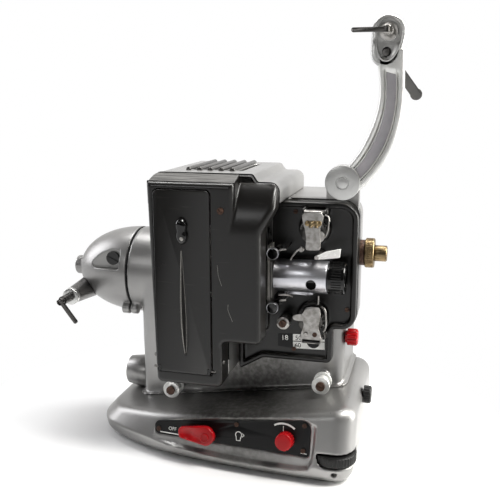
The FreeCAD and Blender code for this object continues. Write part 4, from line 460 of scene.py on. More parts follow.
def row_tree():
    """A straight row of one piece, as many as wanted, a step apart."""
    tree = bpy.data.node_groups.new("row of pieces", "GeometryNodeTree")
    group_socket(tree, "Piece", "NodeSocketGeometry", "INPUT")
    group_socket(tree, "Count", "NodeSocketInt", "INPUT")
    group_socket(tree, "Step", "NodeSocketVector", "INPUT")
    group_socket(tree, "Material", "NodeSocketMaterial", "INPUT")
    group_socket(tree, "Row", "NodeSocketGeometry", "OUTPUT")
    source = tree.nodes.new("NodeGroupInput").outputs
    line = added(tree, "GeometryNodeMeshLine", {"Count": source["Count"], "Offset": source["Step"]},
                 mode="OFFSET")
    copies = added(tree, "GeometryNodeInstanceOnPoints",
                   {"Points": line.outputs["Mesh"], "Instance": source["Piece"]})
    real = added(tree, "GeometryNodeRealizeInstances", {"Geometry": copies.outputs["Instances"]})
    painted = added(tree, "GeometryNodeSetMaterial",
                    {"Geometry": real.outputs["Geometry"], "Material": source["Material"]})
    added(tree, "NodeGroupOutput", {"Row": painted.outputs["Geometry"]})
    return tree


def in_a_row(piece, count, step, material):
    """The piece repeated along a line by the row tree, as one plain mesh."""
    repeat = piece.modifiers.new("row", "NODES")
    repeat.node_group = ROW
    names = {item.name: item.identifier for item in ROW.interface.items_tree if item.in_out == "INPUT"}
    repeat[names["Count"]] = count
    repeat[names["Step"]] = step
    repeat[names["Material"]] = FINISHES[material]
    return applied(piece)


def cut_with(piece, cutters):
    """Cuts a piece with others, which are then gone."""
    for cutter in cutters:
        step = piece.modifiers.new("step", "BOOLEAN")
        step.operation = "DIFFERENCE"
        step.solver = "EXACT"
        step.object = cutter
        applied(piece)
        bpy.data.objects.remove(cutter)
    return piece


def gathered(name, pieces):
    """Several meshes as one piece."""
    work = bmesh.new()
    for piece in pieces:
        work.from_mesh(piece.data)
    mesh = bpy.data.meshes.new(name)
    work.to_mesh(mesh)
    work.free()
    for piece in pieces:
        bpy.data.objects.remove(piece)
    return linked(name, mesh)


def on_axis(axis, level, u, v):
    """A point at a level of an axis; u and v are its other two coordinates."""
    return {"x": (level, u, v), "y": (u, level, v), "z": (u, v, level)}[axis]


def along(axis, centre, distance, radius, angle):
    """A point beside an axis whose other two coordinates are centre."""
    return on_axis(axis, distance, centre[0] + radius * math.cos(angle), centre[1] + radius * math.sin(angle))


def bands(rows, row):
    """The faces between closed rows of points that follow each other."""
    return [(i * row + j, i * row + (j + 1) % row, (i + 1) * row + (j + 1) % row, (i + 1) * row + j)
            for i in range(rows - 1) for j in range(row)]


def ends(rows, row):
    """The faces that close the first and the last row."""
    return [tuple(range(row)), tuple(range((rows - 1) * row, rows * row))]


def lathed(name, axis, centre, profile, sides=48, lobes=0, depth=0.0, lobed=()):
    """A turned piece from (along, radius) points; the points listed in lobed get lobes grooves."""
    vertices = []
    for i, (distance, radius) in enumerate(profile):
        for j in range(sides):
            angle = 2 * math.pi * j / sides
            cut = depth * max(0.0, math.cos(lobes * angle)) ** 3 if i in lobed else 0.0
            vertices.append(along(axis, centre, distance, max(radius - cut, 0.0), angle))
    return face_outwards(mesh_object(name, vertices, bands(len(profile), sides)))


def rod(name, axis, centre, start, end, radius, sides=20):
    """A plain round rod between two levels of an axis."""
    return lathed(name, axis, centre, [(start, 0.0), (start, radius), (end, radius), (end, 0.0)], sides)


def mesh_of(name, data):
    """The plain mesh of a curve or a word."""
    drawn = linked(name, data)
    shown = drawn.evaluated_get(bpy.context.evaluated_depsgraph_get())
    mesh = bpy.data.meshes.new_from_object(shown)
    bpy.data.objects.remove(drawn)
    return mesh


def wire(name, points, radius, sides=8):
    """A round wire through points."""
    data = bpy.data.curves.new(name, "CURVE")
    data.dimensions = "3D"
    data.bevel_depth = radius
    data.bevel_resolution = max(1, sides // 4)
    data.use_fill_caps = True
    data.resolution_u = 6
    line = data.splines.new("BEZIER")
    line.bezier_points.add(len(points) - 1)
    for knot, point in zip(line.bezier_points, points):
        knot.co = point
        knot.handle_left_type = knot.handle_right_type = "AUTO"
    return face_outwards(linked(name, mesh_of(name, data)), 0.0001)


def plate(name, outline, span, axis="y"):
    """A flat piece with an outline in the other two coordinates, between two levels."""
    count = len(outline)
    vertices = [on_axis(axis, level, u, v) for level in span for u, v in outline]
    return face_outwards(mesh_object(name, vertices, ends(2, count) + bands(2, count)))


def between(p0, p1, p2, p3, t):
    """The place a share t of the way from p1 to p2, on a smooth curve that passes p0 and p3 as well."""
    return 0.5 * ((2 * p1) + (p2 - p0) * t + (2 * p0 - 5 * p1 + 4 * p2 - p3) * t * t
                  + (3 * p1 - p0 - 3 * p2 + p3) * t ** 3)


def smooth_outline(points, steps=6):
    """A closed curve through points, as a denser list."""
    dense = []
    for i in range(len(points)):
        knots = [Vector(points[(i + k) % len(points)]) for k in (-1, 0, 1, 2)]
        dense += [tuple(between(*knots, j / steps)) for j in range(steps)]
    return dense


def open_curve(points, count):
    """Evenly numbered places on an open curve through points."""
    knots = [Vector(p) for p in points]
    knots = [knots[0] * 2 - knots[1]] + knots + [knots[-1] * 2 - knots[-2]]
    places = []
    for i in range(count):
        place = i / (count - 1) * (len(points) - 1)
        k = min(int(place), len(points) - 2)
        places.append(between(*knots[k:k + 4], place - k))
    return places


def open_arc(centre, radius, start, end, steps):
    """Points on a part of a circle, between two angles in degrees."""
    angles = [math.radians(start + (end - start) * i / steps) for i in range(steps + 1)]
    return [(centre[0] + radius * math.cos(a), centre[1] + radius * math.sin(a)) for a in angles]


def rounded_box(u, v, radius, steps=6):
    """The outline of an upright rectangle with round corners."""
    outline = []
    for cu, cv, start in ((u[1] - radius, v[1] - radius, 0), (u[0] + radius, v[1] - radius, 90),
                          (u[0] + radius, v[0] + radius, 180), (u[1] - radius, v[0] + radius, 270)):
        outline += open_arc((cu, cv), radius, start, start + 90, steps)
    return outline


def domed(name, outline, spine, base, height, rings=6, foot=0.0):
    """A pillow over an outline in x and z: it rises towards -y from base, round the spine's two ends."""
    (ax, az), (bx, bz) = spine
    start, run = Vector((ax, az)), Vector((bx - ax, bz - az))
    vertices = []
    levels = [(0.0, base + foot)] + [(k * math.pi / 2 / rings, base) for k in range(rings + 1)]
    for turn, root in levels:
        for u, v in outline:
            share = max(0.0, min(1.0, (Vector((u, v)) - start).dot(run) / max(run.length_squared, 1e-9)))
            middle = start + run * share
            point = middle + (Vector((u, v)) - middle) * math.cos(turn)
            vertices.append((point.x, root - height * math.sin(turn), point.y))
    faces = bands(len(levels), len(outline)) + [tuple(range(len(outline)))]
    return face_outwards(mesh_object(name, vertices, faces), 0.01)


def lettering(name, text, size, place, turn, level):
    """Raised plain characters in the xz plane."""
    data = bpy.data.curves.new(name, "FONT")
    data.body = text
    data.size = size
    data.extrude = 0.04
    data.resolution_u = 3
    mesh = mesh_of(name, data)
    mesh.transform(Matrix.Translation((place[0], level, place[1])) @ Matrix.Rotation(turn, 4, "Y")
                   @ Matrix.Rotation(math.pi / 2, 4, "X"))
    return linked(name, mesh)


def stroke(points, width):
    """The outline of a line of even width through (u, v) points."""
    left, right = [], []
    for i, point in enumerate(points):
        before, after = Vector(points[max(i - 1, 0)]), Vector(points[min(i + 1, len(points) - 1)])
        run = (after - before).normalized()
        side = Vector((-run.y, run.x)) * width / 2
        left.append(tuple(Vector(point) + side))
        right.append(tuple(Vector(point) - side))
    return left + right[::-1]


def moved(piece, matrix):
    piece.data.transform(matrix)
    return piece


def painted(piece, slot, finish_name=None):
    """Gives a piece the named finish, or the usual one of its slot."""
    piece.data.materials.clear()
    piece.data.materials.append(FINISHES[finish_name or FINISH_OF_SLOT.get(slot, slot)])


def placed(piece, body, slot, finish_name=None, nodes=(), angle=32):
    """Moves a finished piece to the machine's frame and hands it to its body."""
    piece.data.transform(TO_ROW)
    painted(piece, slot, finish_name)
    piece.data.shade_smooth()
    piece.data.set_sharp_from_angle(angle=math.radians(angle))
    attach(piece, body)
    if nodes:
        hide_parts(*nodes)
    return piece


def stands_for(node, piece, finish_name=None, angle=32):
    """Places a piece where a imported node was, in that node's body and slot."""
    return placed(piece, BODY_OF[node], SLOT_OF[node], finish_name, (node,), angle)


def finish_of(node):
    """The finish that a node has instead of its slot's usual one, if any."""
    return next((finish_name for finish_name, nodes in OWN_FINISH.items() if node in nodes), None)


def dress(node, width):
    """Replaces a node by a copy whose edges are rounded."""
    return stands_for(node, softened(cad_copy(node), width), finish_of(node))


def edge_distance(point, outline):
    """How far a point lies inside a closed outline; negative outside it."""
    inside, near = False, 1e9
    for (ax, ay), (bx, by) in zip(outline, outline[1:] + outline[:1]):
        if (ay > point[1]) != (by > point[1]) and point[0] < (bx - ax) * (point[1] - ay) / (by - ay) + ax:
            inside = not inside
        run = Vector((bx - ax, by - ay))
        share = max(0.0, min(1.0, (Vector(point) - Vector((ax, ay))).dot(run) / run.length_squared))
        near = min(near, (Vector(point) - Vector((ax, ay)) - run * share).length)
    return near if inside else -near


# The scoop in the base front, round and below the control panel, in the panel's u and v.
SCOOP = [(-146, -2.5), (-124, -6.5), (-96, -9), (-68, -10.5), (-34, -11), (-4, -10.5), (5.5, -9), (8.2, -2),
         (9.4, 12), (9.6, 26), (6, 28), (-128, 9)]
SCOOP_FLOOR = -0.8           # just proud of the panel face, which leaves a fine bright step under the panel
SCOOP_LIP = 3.2              # width of the rounded lip


def scooped(piece):
    """Presses the scoop into the base front."""
    to_face = TO_PANEL.inverted()
    for vertex in piece.data.vertices:
        u, out, v = to_face @ vertex.co
        if not (-17 < out < SCOOP_FLOOR and -150 < u < 12 and -14 < v < 32):
            continue
        depth = edge_distance((u, v), SCOOP)
        if depth > 0:
            share = min(1.0, depth / SCOOP_LIP)
            share = share * share * (3 - 2 * share)
            vertex.co = TO_PANEL @ Vector((u, out + (SCOOP_FLOOR - out) * share, v))
    return piece


def skin_strip(name, source, keep, lift, finish_name):
    """A thin raised line over a node: the part of its skin that lies between the planes of keep."""
    piece = cad_copy(source)
    work = bmesh.new()
    work.from_mesh(piece.data)
    for point, outward in keep:
        parts = work.verts[:] + work.edges[:] + work.faces[:]
        bmesh.ops.bisect_plane(work, geom=parts, plane_co=point, plane_no=outward, clear_outer=True)
    bmesh.ops.delete(work, geom=[f for f in work.faces if abs(f.normal.y) > 0.7], context="FACES")
    work.to_mesh(piece.data)
    work.free()
    piece = thickened(piece, lift + 0.3, 2 * lift / (lift + 0.3) - 1)
    piece.name = name
    return placed(face_outwards(piece), "machine", "cover_paint", finish_name)


def dress_casting(node, voxel, rounds, share):
    """Replaces a node by a copy with the soft skin of a casting, on a share of its faces."""
    piece = cast(cad_copy(node), voxel, rounds)
    if node == "base_casting":
        piece = scooped(piece)
    fewer = piece.modifiers.new("fewer", "DECIMATE")
    fewer.ratio = share
    return stands_for(node, applied(piece), finish_of(node), 60)


def keep(node):
    """Shows a node as it is, with its own finish."""
    painted(frame["nodes"][node], SLOT_OF[node], finish_of(node))


# Control panel, drawn on the panel's own face

MARK_DEPTH = (-0.12, 0.05)


def panel_mark(points, width):
    return plate("mark", stroke(points, width), MARK_DEPTH)


def panel_markings():
    bulb = open_arc((-55.3, 9.2), 2.6, -40, 220, 14) + [(-56.9, 4.6), (-53.8, 4.6)]
    marks = [panel_mark([(-124.8, 1.8), (-106.6, 1.6)], 0.75),
             panel_mark(open_arc((-18.0, 9.0), 14.8, 122, 52, 12), 1.5),
             panel_mark([(-18.3, 21.8), (-18.1, 17.6)], 0.6),
             panel_mark([(-2.8, 2.6), (2.0, 2.4)], 0.6),
             panel_mark(bulb + bulb[:1], 0.55),
             panel_mark([(-52.2, 10.8), (-50.6, 9.4), (-52.2, 7.8)], 0.5),
             lettering("mark", "OFF", 4.2, (-117.5, 4.3), 0.0, -0.1)]
    return placed(moved(gathered("panel_markings", marks), TO_PANEL), "machine", "porcelain", "white")


def lever_hub():
    """The raised ring at the turning point of the red lever."""
    ring = lathed("lever_hub", "y", (-81.0, 5.4), [(-9.9, 3.6), (-10.9, 3.7), (-11.2, 3.3), (-11.2, 2.9),
                                                   (-10.6, 2.7), (-10.5, 0.0)], 40)
    return placed(moved(ring, TO_PANEL), "switch_lever", "red_plastic")


# Lamp door and cover

LATCH_LOWER, LATCH_UPPER = (-107.4, 35.2), (-108.2, 46.0)    # middles of the two lobes of the latch
LATCH_HALF_HEIGHT = 10.6


def door_latch():
    """The glossy knob of the latch, with two lobes, and its screw."""
    middle_x, middle_z = (LATCH_LOWER[0] + LATCH_UPPER[0]) / 2, (LATCH_LOWER[1] + LATCH_UPPER[1]) / 2
    outline = []
    for i in range(40):
        turn = 2 * math.pi * i / 40
        height = math.sin(turn)
        half = 5.4 - 1.5 * math.exp(-((height * LATCH_HALF_HEIGHT - 0.4) / 2.8) ** 2)
        outline.append((middle_x - height * 0.4 + half * math.cos(turn),
                        middle_z + LATCH_HALF_HEIGHT * height))
    knob = domed("latch_knob", outline, (LATCH_LOWER, LATCH_UPPER), -43.2, 4.4, 6, 1.4)
    stands_for("door_latch", knob, angle=60)
    screw = lathed("latch_screw", "y", (-106.4, 35.4), [(-46.6, 1.5), (-47.8, 1.5), (-48.0, 1.2),
                                                        (-48.0, 0.0)], 20)
    placed(screw, "door_latch", "steel")
    placed(rod("latch_shaft", "y", (-107.8, 40.5), -42.6, -36.4, 1.8), "door_latch", "steel")


FIN_FOOT, FIN_HEAD = Vector((-107.2, -62.5)), Vector((-109.2, 28.4))
FIN_ROOT = -41.1             # level at which the fin leaves the door
FIN_HALF_WIDTH, FIN_HEIGHT = 3.4, 5.8
FIN_SECTION = ((-1.0, 0.0), (-0.66, 0.10), (-0.40, 0.32), (-0.20, 0.66), (-0.08, 0.93), (0.0, 1.0),
               (0.08, 0.93), (0.20, 0.66), (0.40, 0.32), (0.66, 0.10), (1.0, 0.0))


def on_fin(share, across, root, height):
    """A point on the leaf-shaped fin, a share of the way up and across of its half width."""
    middle = FIN_FOOT.lerp(FIN_HEAD, share)
    swell = 0.03 + 0.97 * math.sin(math.pi * share ** 0.72) ** 1.1
    return (middle.x + FIN_HALF_WIDTH * swell * across, root - height * swell, middle.y)


def lamp_door():
    """The door with its rounded edge, the leaf-shaped fin and the knuckle of its hinge."""
    leaf = softened(plate("door", rounded_box((-132.0, -86.0), (-76.5, 72.0), 4.0), (-41.2, -39.0)), 0.8, 3)
    rows, row = 41, len(FIN_SECTION)
    vertices = [on_fin(i / (rows - 1), across, FIN_ROOT, FIN_HEIGHT * rise)
                for i in range(rows) for across, rise in FIN_SECTION]
    fin = face_outwards(mesh_object("fin", vertices, bands(rows, row) + ends(rows, row)))
    # Light lines along the fin's foot and ridge: partly worn paint, partly painted highlight.
    worn = [wire("wear_and_highlight_line", [on_fin(i / 24, across, FIN_ROOT - 0.05, lift) for i in range(1, 24)], thick)
            for across, lift, thick in ((-0.80, 0.4, 0.22), (0.0, 5.85, 0.28), (0.55, 1.2, 0.16))]
    placed(gathered("fin_wear_and_highlight_lines", worn), "lamp_door", "cover_paint", "scuff_and_highlight")
    knuckle = rod("knuckle", "x", (-39.0, -73.5), -131, -87, 2.0, 24)
    stands_for("lamp_door", gathered("lamp_door_dressed", [leaf, fin, knuckle]), "door", 40)


def hinge_screws():
    """The small round bosses beside the foot of the door, and the two lugs of its hinge."""
    left = lathed("boss", "x", (-33.5, -65.5), [(-137.2, 0.0), (-137.0, 1.3), (-136.2, 2.0), (-134.5, 2.0),
                                                (-134.5, 0.0)], 24)
    right = lathed("boss", "x", (-34.5, -66.5), [(-76.3, 0.0), (-76.5, 1.3), (-77.2, 2.0), (-78.8, 2.0),
                                                 (-78.8, 0.0)], 24)
    lugs = [softened(plate("lug", rounded_box((x, x + 2.4), (-76.2, -70.8), 0.8, 3), (-41.6, -40.6)), 0.2)
            for x in (-131.4, -89.4)]
    placed(gathered("hinge_screws", [left, right]), "machine", "dark_steel")
    placed(gathered("door_lugs", lugs), "lamp_door", "cover_paint", "black")


INLET_Y, INLET_Z = 40.0, -113.0
INLET_NECK = -173.0          # from here out the collar is drawn shorter
INLET_ROUND = -183.0         # from here out its mouth narrows


def mains_inlet():
    """The round collar of the inlet: its mouth end is drawn in."""
    piece = softened(cad_copy("mains_inlet"), 0.4)
    for vertex in piece.data.vertices:
        x, y, z = vertex.co
        if x < INLET_NECK:
            x = INLET_NECK + (x - INLET_NECK) * 0.82
        drawn = max(0.0, (INLET_ROUND - x) / 11.0)
        shrink = 1.0 - 0.22 * drawn * drawn
        vertex.co = (x, INLET_Y + (y - INLET_Y) * shrink, INLET_Z + (z - INLET_Z) * shrink)
    stands_for("mains_inlet", piece, angle=50)


LENS_HOLE = (-12.0, -3.8)    # middle of the dark hole in the side of the lens tube, in x and z


def lens_tube():
    """The bright tube of the lens, with a hole in its side whose black lining and floor are painted shade,
    and the post behind it.
    """
    tube = lathed("lens_tube", "x", (0, 0), [(-43, 11.0), (-43, 12.7), (-42.5, 13.2), (-0.6, 13.2),
                                             (-0.15, 13.0), (0, 12.5), (0, 11.0), (-43, 11.0)], 128)
    tube = cut_with(tube, [rod("drill", "y", LENS_HOLE, -16, -5, 4.2, 48)])
    post = softened(plate("post", rounded_box((-38, -14), (-19, 4), 1.0, 3), (10.5, 14.0)), 0.4)
    stem = softened(plate("stem", rounded_box((-34, -18), (-18, -9), 1.0, 3), (6.0, 11.0)), 0.3)
    # A black lining and floor inside the hole: painted shade.
    liner = lathed("hole_liner", "y", LENS_HOLE, [(-12.2, 4.15), (-9.0, 4.15), (-9.0, 3.7), (-12.2, 3.7),
                                                  (-12.2, 4.15)], 48)
    floor = lathed("hole_floor", "y", LENS_HOLE, [(-10.6, 4.1), (-10.6, 0.0)], 48)
    placed(gathered("hole_shade", [liner, floor]), BODY_OF["lens_holder"], "black_plastic", "groove")
    stands_for("lens_holder", gathered("lens_holder_dressed", [tube, post, stem]), "chrome", 40)


def gate_lever():
    """The bright blade that lifts the pressure plate, on its dark stem."""
    x, z = -8.0, 18.2
    outline = ((-1.6, -1.6), (5.0, -1.0), (18.0, 1.0), (18.8, 8.0), (7.0, 5.2), (1.0, 2.0), (-1.8, 0.8))
    blade = plate("blade", [(x + u, z + v) for u, v in outline], (-11.4, -9.9))
    placed(rod("stem", "y", (x, z), -12.2, 14.0, 1.5, 24), "gate_lever", "steel")
    stands_for("gate_lever", softened(blade, 0.35, 2, 20), "bright", 30)


def plate_skirt():
    """The black side of the mechanism plate, which laps over the housing."""
    skin_strip("plate_skirt", "body_casting", [((0, 27.0, 0), (0, 1, 0)), ((0, 0, -46.5), (0, 0, -1)),
                                               ((-35.0, 0, 0), (-1, 0, 0))], 0.4, "cover")


def top_ribs():
    """The raised ribs over the vents in the top of the lamp house, in a darker copy of the enamel that is
    painted shade.
    """
    section = [(-2.3, 82.6), (-2.1, 84.4), (-1.3, 85.5), (0.0, 85.9), (1.3, 85.5), (2.1, 84.4), (2.3, 82.6)]
    rib = softened(plate("top_ribs", [(-116.4 + x, z) for x, z in section], (-1.0, 71.0)), 0.6)
    placed(in_a_row(rib, 5, (9.2, 0, 0), "shade_painted_casting"), "machine", "casting_paint", "shade_painted_casting")


def case_seams():
    """The dark joint between the cover and the lamp house, and a black strip behind the front frame that is
    the painted shadow of a groove.
    """
    skin_strip("case_seam", "lamp_house", [((0, -18.9, 0), (0, 1, 0)), ((0, 0, -70), (0, 0, -1))],
               0.3, "groove")
    skin_strip("frame_groove_shadow", "front_cover", [((0, -35.4, 0), (0, 1, 0)), ((0, -36.6, 0), (0, -1, 0)),
                                               ((0, 0, 60), (0, 0, -1)), ((-67.0, 0, 0), (1, 0, 0))],
               0.25, "groove")


def cover_scuffs():
    """Thin scratches in the paint of the cover and the door."""
    lines = [[(-88.6, 22.4), (-87.4, 22.3), (-88.4, 19.8), (-84.6, 21.0)],
             [(-80.4, 14.5), (-79.6, 6.0), (-77.0, -1.8)],
             [(-71.9, -16.3), (-72.2, -20.0), (-71.6, -22.4), (-68.5, -30.1)],
             [(-96.0, 60.0), (-93.0, 61.5)], [(-118.0, -40.0), (-116.8, -44.0)]]
    flat = [plate("scuff_and_highlight", stroke(line, 0.28), (-40.08, -39.8)) for line in lines]
    placed(gathered("cover_scuffs", flat), "machine", "cover_paint", "scuff_and_highlight")


# Mechanism

LABEL_FACE = 13.7            # front of the speed label
LABEL_SPAN = (LABEL_FACE, 14.0)


def speed_label():
    """A small dial plate with plain numbers under the lower sprocket."""
    dark = plate("label", [(-43.9, -55.7), (-31.4, -54.6), (-31.0, -67.5), (-44.0, -66.6)], LABEL_SPAN)
    placed(dark, "machine", "black_panel")
    boxes = [plate("label", [(-31.0, -55.0), (-4.1, -53.3), (-4.0, -59.4), (-31.0, -60.9)], LABEL_SPAN),
             plate("label", [(-31.0, -61.7), (-4.0, -60.2), (-3.8, -66.6), (-30.9, -67.5)], LABEL_SPAN)]
    placed(gathered("label_boxes", boxes), "machine", "porcelain", "white")
    numbers = [lettering("number", "18", 6.4, (-41.2, -61.0), -0.05, LABEL_FACE - 0.08)]
    placed(gathered("label_number", numbers), "machine", "porcelain", "white")
    dark = [lettering("number", "50", 5.6, (-29.0, -60.0), -0.06, LABEL_FACE - 0.08),
            lettering("number", "60", 5.6, (-29.4, -66.6), -0.06, LABEL_FACE - 0.08),
            plate("dial", open_arc((-13.6, -60.4), 5.6, 180, 360, 16), (LABEL_FACE - 0.2, LABEL_FACE))]
    placed(gathered("label_dark", dark), "machine", "black_panel")


GUARD_FRONT = -9.4
UPPER_GUARD = [(-19.2, 52.6), (-4.6, 52.8), (-4.8, 45.0), (-6.0, 40.6), (-5.4, 33.0), (-5.6, 25.2),
               (-8.0, 23.8), (-15.4, 23.6), (-17.2, 25.0), (-17.0, 32.0), (-18.0, 39.8), (-19.6, 45.0)]
LOWER_GUARD = [(-15.3, -23.4), (-6.2, -22.7), (-4.4, -27.0), (-4.9, -33.7), (-5.6, -40.0), (-3.9, -46.0),
               (-3.9, -52.6), (-19.0, -52.8), (-19.8, -45.7), (-17.8, -38.0), (-19.8, -31.4), (-17.6, -26.4)]


def guard_piece(node, outline, hinge_z, side):
    """A hinged film guard: the shaped plate, its rolled edge, the lid over the sprocket and the hinge."""
    thick = plate(node + "_dressed", smooth_outline(outline, 4), (GUARD_FRONT - 0.6, GUARD_FRONT + 0.5))
    thick = softened(thick, 0.35)
    roll = lathed("roll", "x", (GUARD_FRONT + 2.2, hinge_z),
                  [(-19.4, 0.0), (-19.4, 2.3), (-19.0, 2.7), (-5.4, 2.7), (-5.0, 2.3), (-5.0, 0.0)], 24)
    lid = plate("lid", [(-19.8, GUARD_FRONT + 2), (-4.8, GUARD_FRONT + 2), (-4.8, 4.0), (-19.8, 4.0)],
                (hinge_z + 0.6 * side, hinge_z + 1.6 * side), "z")
    hinge = rod("hinge", "x", (4.0, hinge_z), -22.5, -2.1, 1.6)
    stands_for(node, gathered(node + "_dressed", [thick, roll, softened(lid, 0.2), hinge]), "nickel")


def upper_guard_details():
    """The brass studs and springs of the upper guard, its wire loop and its tab."""
    studs = [lathed("stud", "y", (x, 45.0), [(-9.8, 1.8), (-10.6, 2.3), (-11.4, 2.0), (-11.8, 1.1),
                                             (-11.9, 0.0)], 16) for x in (-15.8, -10.6, -7.0)]
    for x in (-13.2, -8.8):
        turns = [along("z", (x, -10.6), 41.6 + 0.11 * i, 1.3, i * math.pi / 4) for i in range(49)]
        studs.append(wire("spring", turns, 0.36, 4))
    placed(gathered("guard_springs", studs), "upper_guard", "steel", "brass")
    loop = wire("loop", [(-2.9, -6, 51.2), (-0.6, -6.6, 50.4), (0.1, -7, 44.0), (-1.2, -7, 36.6),
                         (-3.4, -7, 33.6), (-5.0, -7.4, 34.2)], 0.7)
    outline = [(-6.6, 37.6), (-4.2, 38.6), (-2.7, 35.2), (-3.6, 31.6), (-6.2, 31.2)]
    tab = plate("tab", smooth_outline(outline, 4), (-9.0, -8.2))
    placed(gathered("upper_guard_details", [loop, softened(tab, 0.2)]), "upper_guard", "nickel")


def lower_guard_details():
    """The slotted screws and the black bar of the lower guard, its wire loop, tab and post."""
    for (x, z), finish_name in (((-15.9, -45.8), "steel"), ((-8.6, -45.6), "rusty")):
        screw = lathed("guard_screw", "y", (x, z), [(-9.9, 1.9), (-10.8, 1.9), (-11.1, 1.5),
                                                    (-11.1, 0.0)], 24)
        slot = plate("slot", [(x - 2.2, z - 0.9), (x - 1.9, z - 1.3), (x + 2.2, z + 0.9), (x + 1.9, z + 1.3)],
                     (-11.5, -10.7))
        placed(cut_with(screw, [slot]), "lower_guard", "steel", finish_name)
    placed(rod("guard_bar", "x", (-10.0, -51.4), -18.6, -4.2, 1.3), "lower_guard", "black_plastic")
    loop = wire("loop", [(-4.4, -7, -22.4), (-1.6, -7, -25.0), (-0.3, -7, -32.0), (-0.4, -7, -40.0),
                         (-2.2, -7, -43.6)], 0.7)
    outline = [(-26.4, -31.2), (-19.0, -29.4), (-17.8, -34.8), (-25.6, -34.8)]
    tab = plate("tab", smooth_outline(outline, 4), (-9.4, -8.6))
    post = wire("post", [(-6.4, -8, -13.6), (-6.6, -8, -20.6)], 0.7)
    placed(gathered("lower_guard_details", [loop, softened(tab, 0.2), post]), "lower_guard", "nickel")


def gate_guides():
    """The bright bent wires that lead the film into and out of the gate."""
    upper = wire("guide", [(-29.6, -8, 14.6), (-27.6, -8, 18.2), (-24.6, -8, 22.0), (-20.4, -8, 24.4)], 0.8)
    tip = lathed("tip", "y", (-20.6, 23.6), [(-10.0, 0.0), (-10.0, 1.8), (-9.4, 2.1), (-7.0, 2.1),
                                             (-6.8, 0.0)], 20)
    lower = wire("guide", [(-39.0, -8, -14.9), (-30.0, -8, -14.6), (-27.2, -8, -15.6)], 0.8)
    pins = [wire("pin", [(-38.6, -8, 22.2), (-33.0, -8, 23.0)], 0.7),
            wire("pin", [(-38.0, -8, -19.6), (-32.8, -8, -18.8)], 0.9)]
    stems = [wire("stem", [(x, -8, z), (x, 14, z)], 0.6)
             for x, z in ((-28.6, 16.4), (-33.6, -14.8), (-34.0, 22.8), (-33.6, -18.9))]
    placed(gathered("gate_guides", [upper, tip, lower] + pins + stems), "machine", "nickel")


def gate_roller_rims():
    for name, z in (("gate_roller_upper", 19.5), ("gate_roller_lower", -25.5)):
        rim = lathed(name + "_rim", "y", (-43.3, z), [(-8.8, 4.3), (-8.8, 4.75), (-12.2, 4.75), (-12.4, 4.55),
                                                      (-12.2, 4.3)], 40)
        placed(rim, name, "chrome")


# Reel arm

ARM_LEFT = ((9.0, 84.0), (14.0, 91.0), (20.2, 99.8), (28.0, 115.9), (33.2, 133.8), (33.8, 150.3),
            (31.6, 165.7), (28.1, 177.9))
ARM_RIGHT = ((20.5, 69.0), (25.5, 73.0), (35.8, 85.0), (44.7, 100.3), (50.2, 119.3), (52.4, 140.0),
             (51.9, 162.4), (51.7, 176.0))
ARM_FRONT, ARM_BACK = 7.4, 14.4
ARM_ROWS = 60                # rows of points from the pivot to the head
CHANNEL_FLOOR = 9.25
SPINDLE = (39.3, 188.3)
CRANK_AXLE = (38.2, 173.9)
ARM_HEAD_CUT = 9.4           # how far back the recess goes in the head, and in the arm under it;
ARM_CUT = 10.6               # the same level for both would leave two faces in one place


def rail(start, end, depth, steps=8):
    """Half-round rail between two shares of the arm's width."""
    middle, half = (start + end) / 2, (end - start) / 2
    return [(middle - half * math.cos(math.pi * i / steps), depth * (1 - math.sin(math.pi * i / steps)))
            for i in range(steps + 1)]


# Across the arm: share of the width from the left edge, and depth behind the front plane.
ARM_SECTION = (rail(0.0, 0.235, 2.6) + [(0.245, 2.2)] + rail(0.25, 0.29, 1.2, 4) + [(0.30, 2.0), (0.67, 2.0)]
               + rail(0.68, 0.72, 1.2, 4) + [(0.725, 2.2)] + rail(0.735, 1.0, 2.8))


def arm_plate():
    """The cast arm with a rounded rail on each side of its channel, which ends below the head."""
    vertices = []
    for i, (left, right) in enumerate(zip(open_curve(ARM_LEFT, ARM_ROWS), open_curve(ARM_RIGHT, ARM_ROWS))):
        share = i / (ARM_ROWS - 1)
        open_here = min(1.0, max(0.0, (share - 0.10) / 0.02)) * min(1.0, max(0.0, (0.83 - share) / 0.02))
        section = [(across, ARM_FRONT + depth * (open_here if 0.12 < across < 0.87 else 1.0))
                   for across, depth in ARM_SECTION]
        for across, level in section + [(1.0, ARM_BACK), (0.0, ARM_BACK)]:
            point = left.lerp(right, across)
            vertices.append((point.x, level, point.y))
    row = len(ARM_SECTION) + 2
    return face_outwards(mesh_object("arm_plate", vertices, bands(ARM_ROWS, row) + ends(ARM_ROWS, row)))


def arm_channel():
    """The darker painted floor of the channel."""
    left, right = open_curve(ARM_LEFT, ARM_ROWS), open_curve(ARM_RIGHT, ARM_ROWS)
    points = [left[i].lerp(right[i], across) for i in range(7, 50) for across in (0.305, 0.665)]
    faces = [(i, i + 1, i + 3, i + 2) for i in range(0, len(points) - 2, 2)]
    piece = mesh_object("arm_channel", [(point.x, CHANNEL_FLOOR, point.y) for point in points], faces)
    placed(face_outwards(thickened(piece, 0.3, 0.0)), "arm", "aluminium", "arm_floor")


def head_outline():
    """The egg-shaped head round the spindle and the crank axle."""
    (x0, z0), r0, (x1, z1), r1 = SPINDLE, 12.6, (37.6, 173.4), 11.2
    line = math.degrees(math.atan2(z1 - z0, x1 - x0))
    lean = math.degrees(math.acos((r0 - r1) / math.hypot(x1 - x0, z1 - z0)))
    return (open_arc((x0, z0), r0, line + lean, line + 360 - lean, 36)
            + open_arc((x1, z1), r1, line - lean, line + lean, 24))


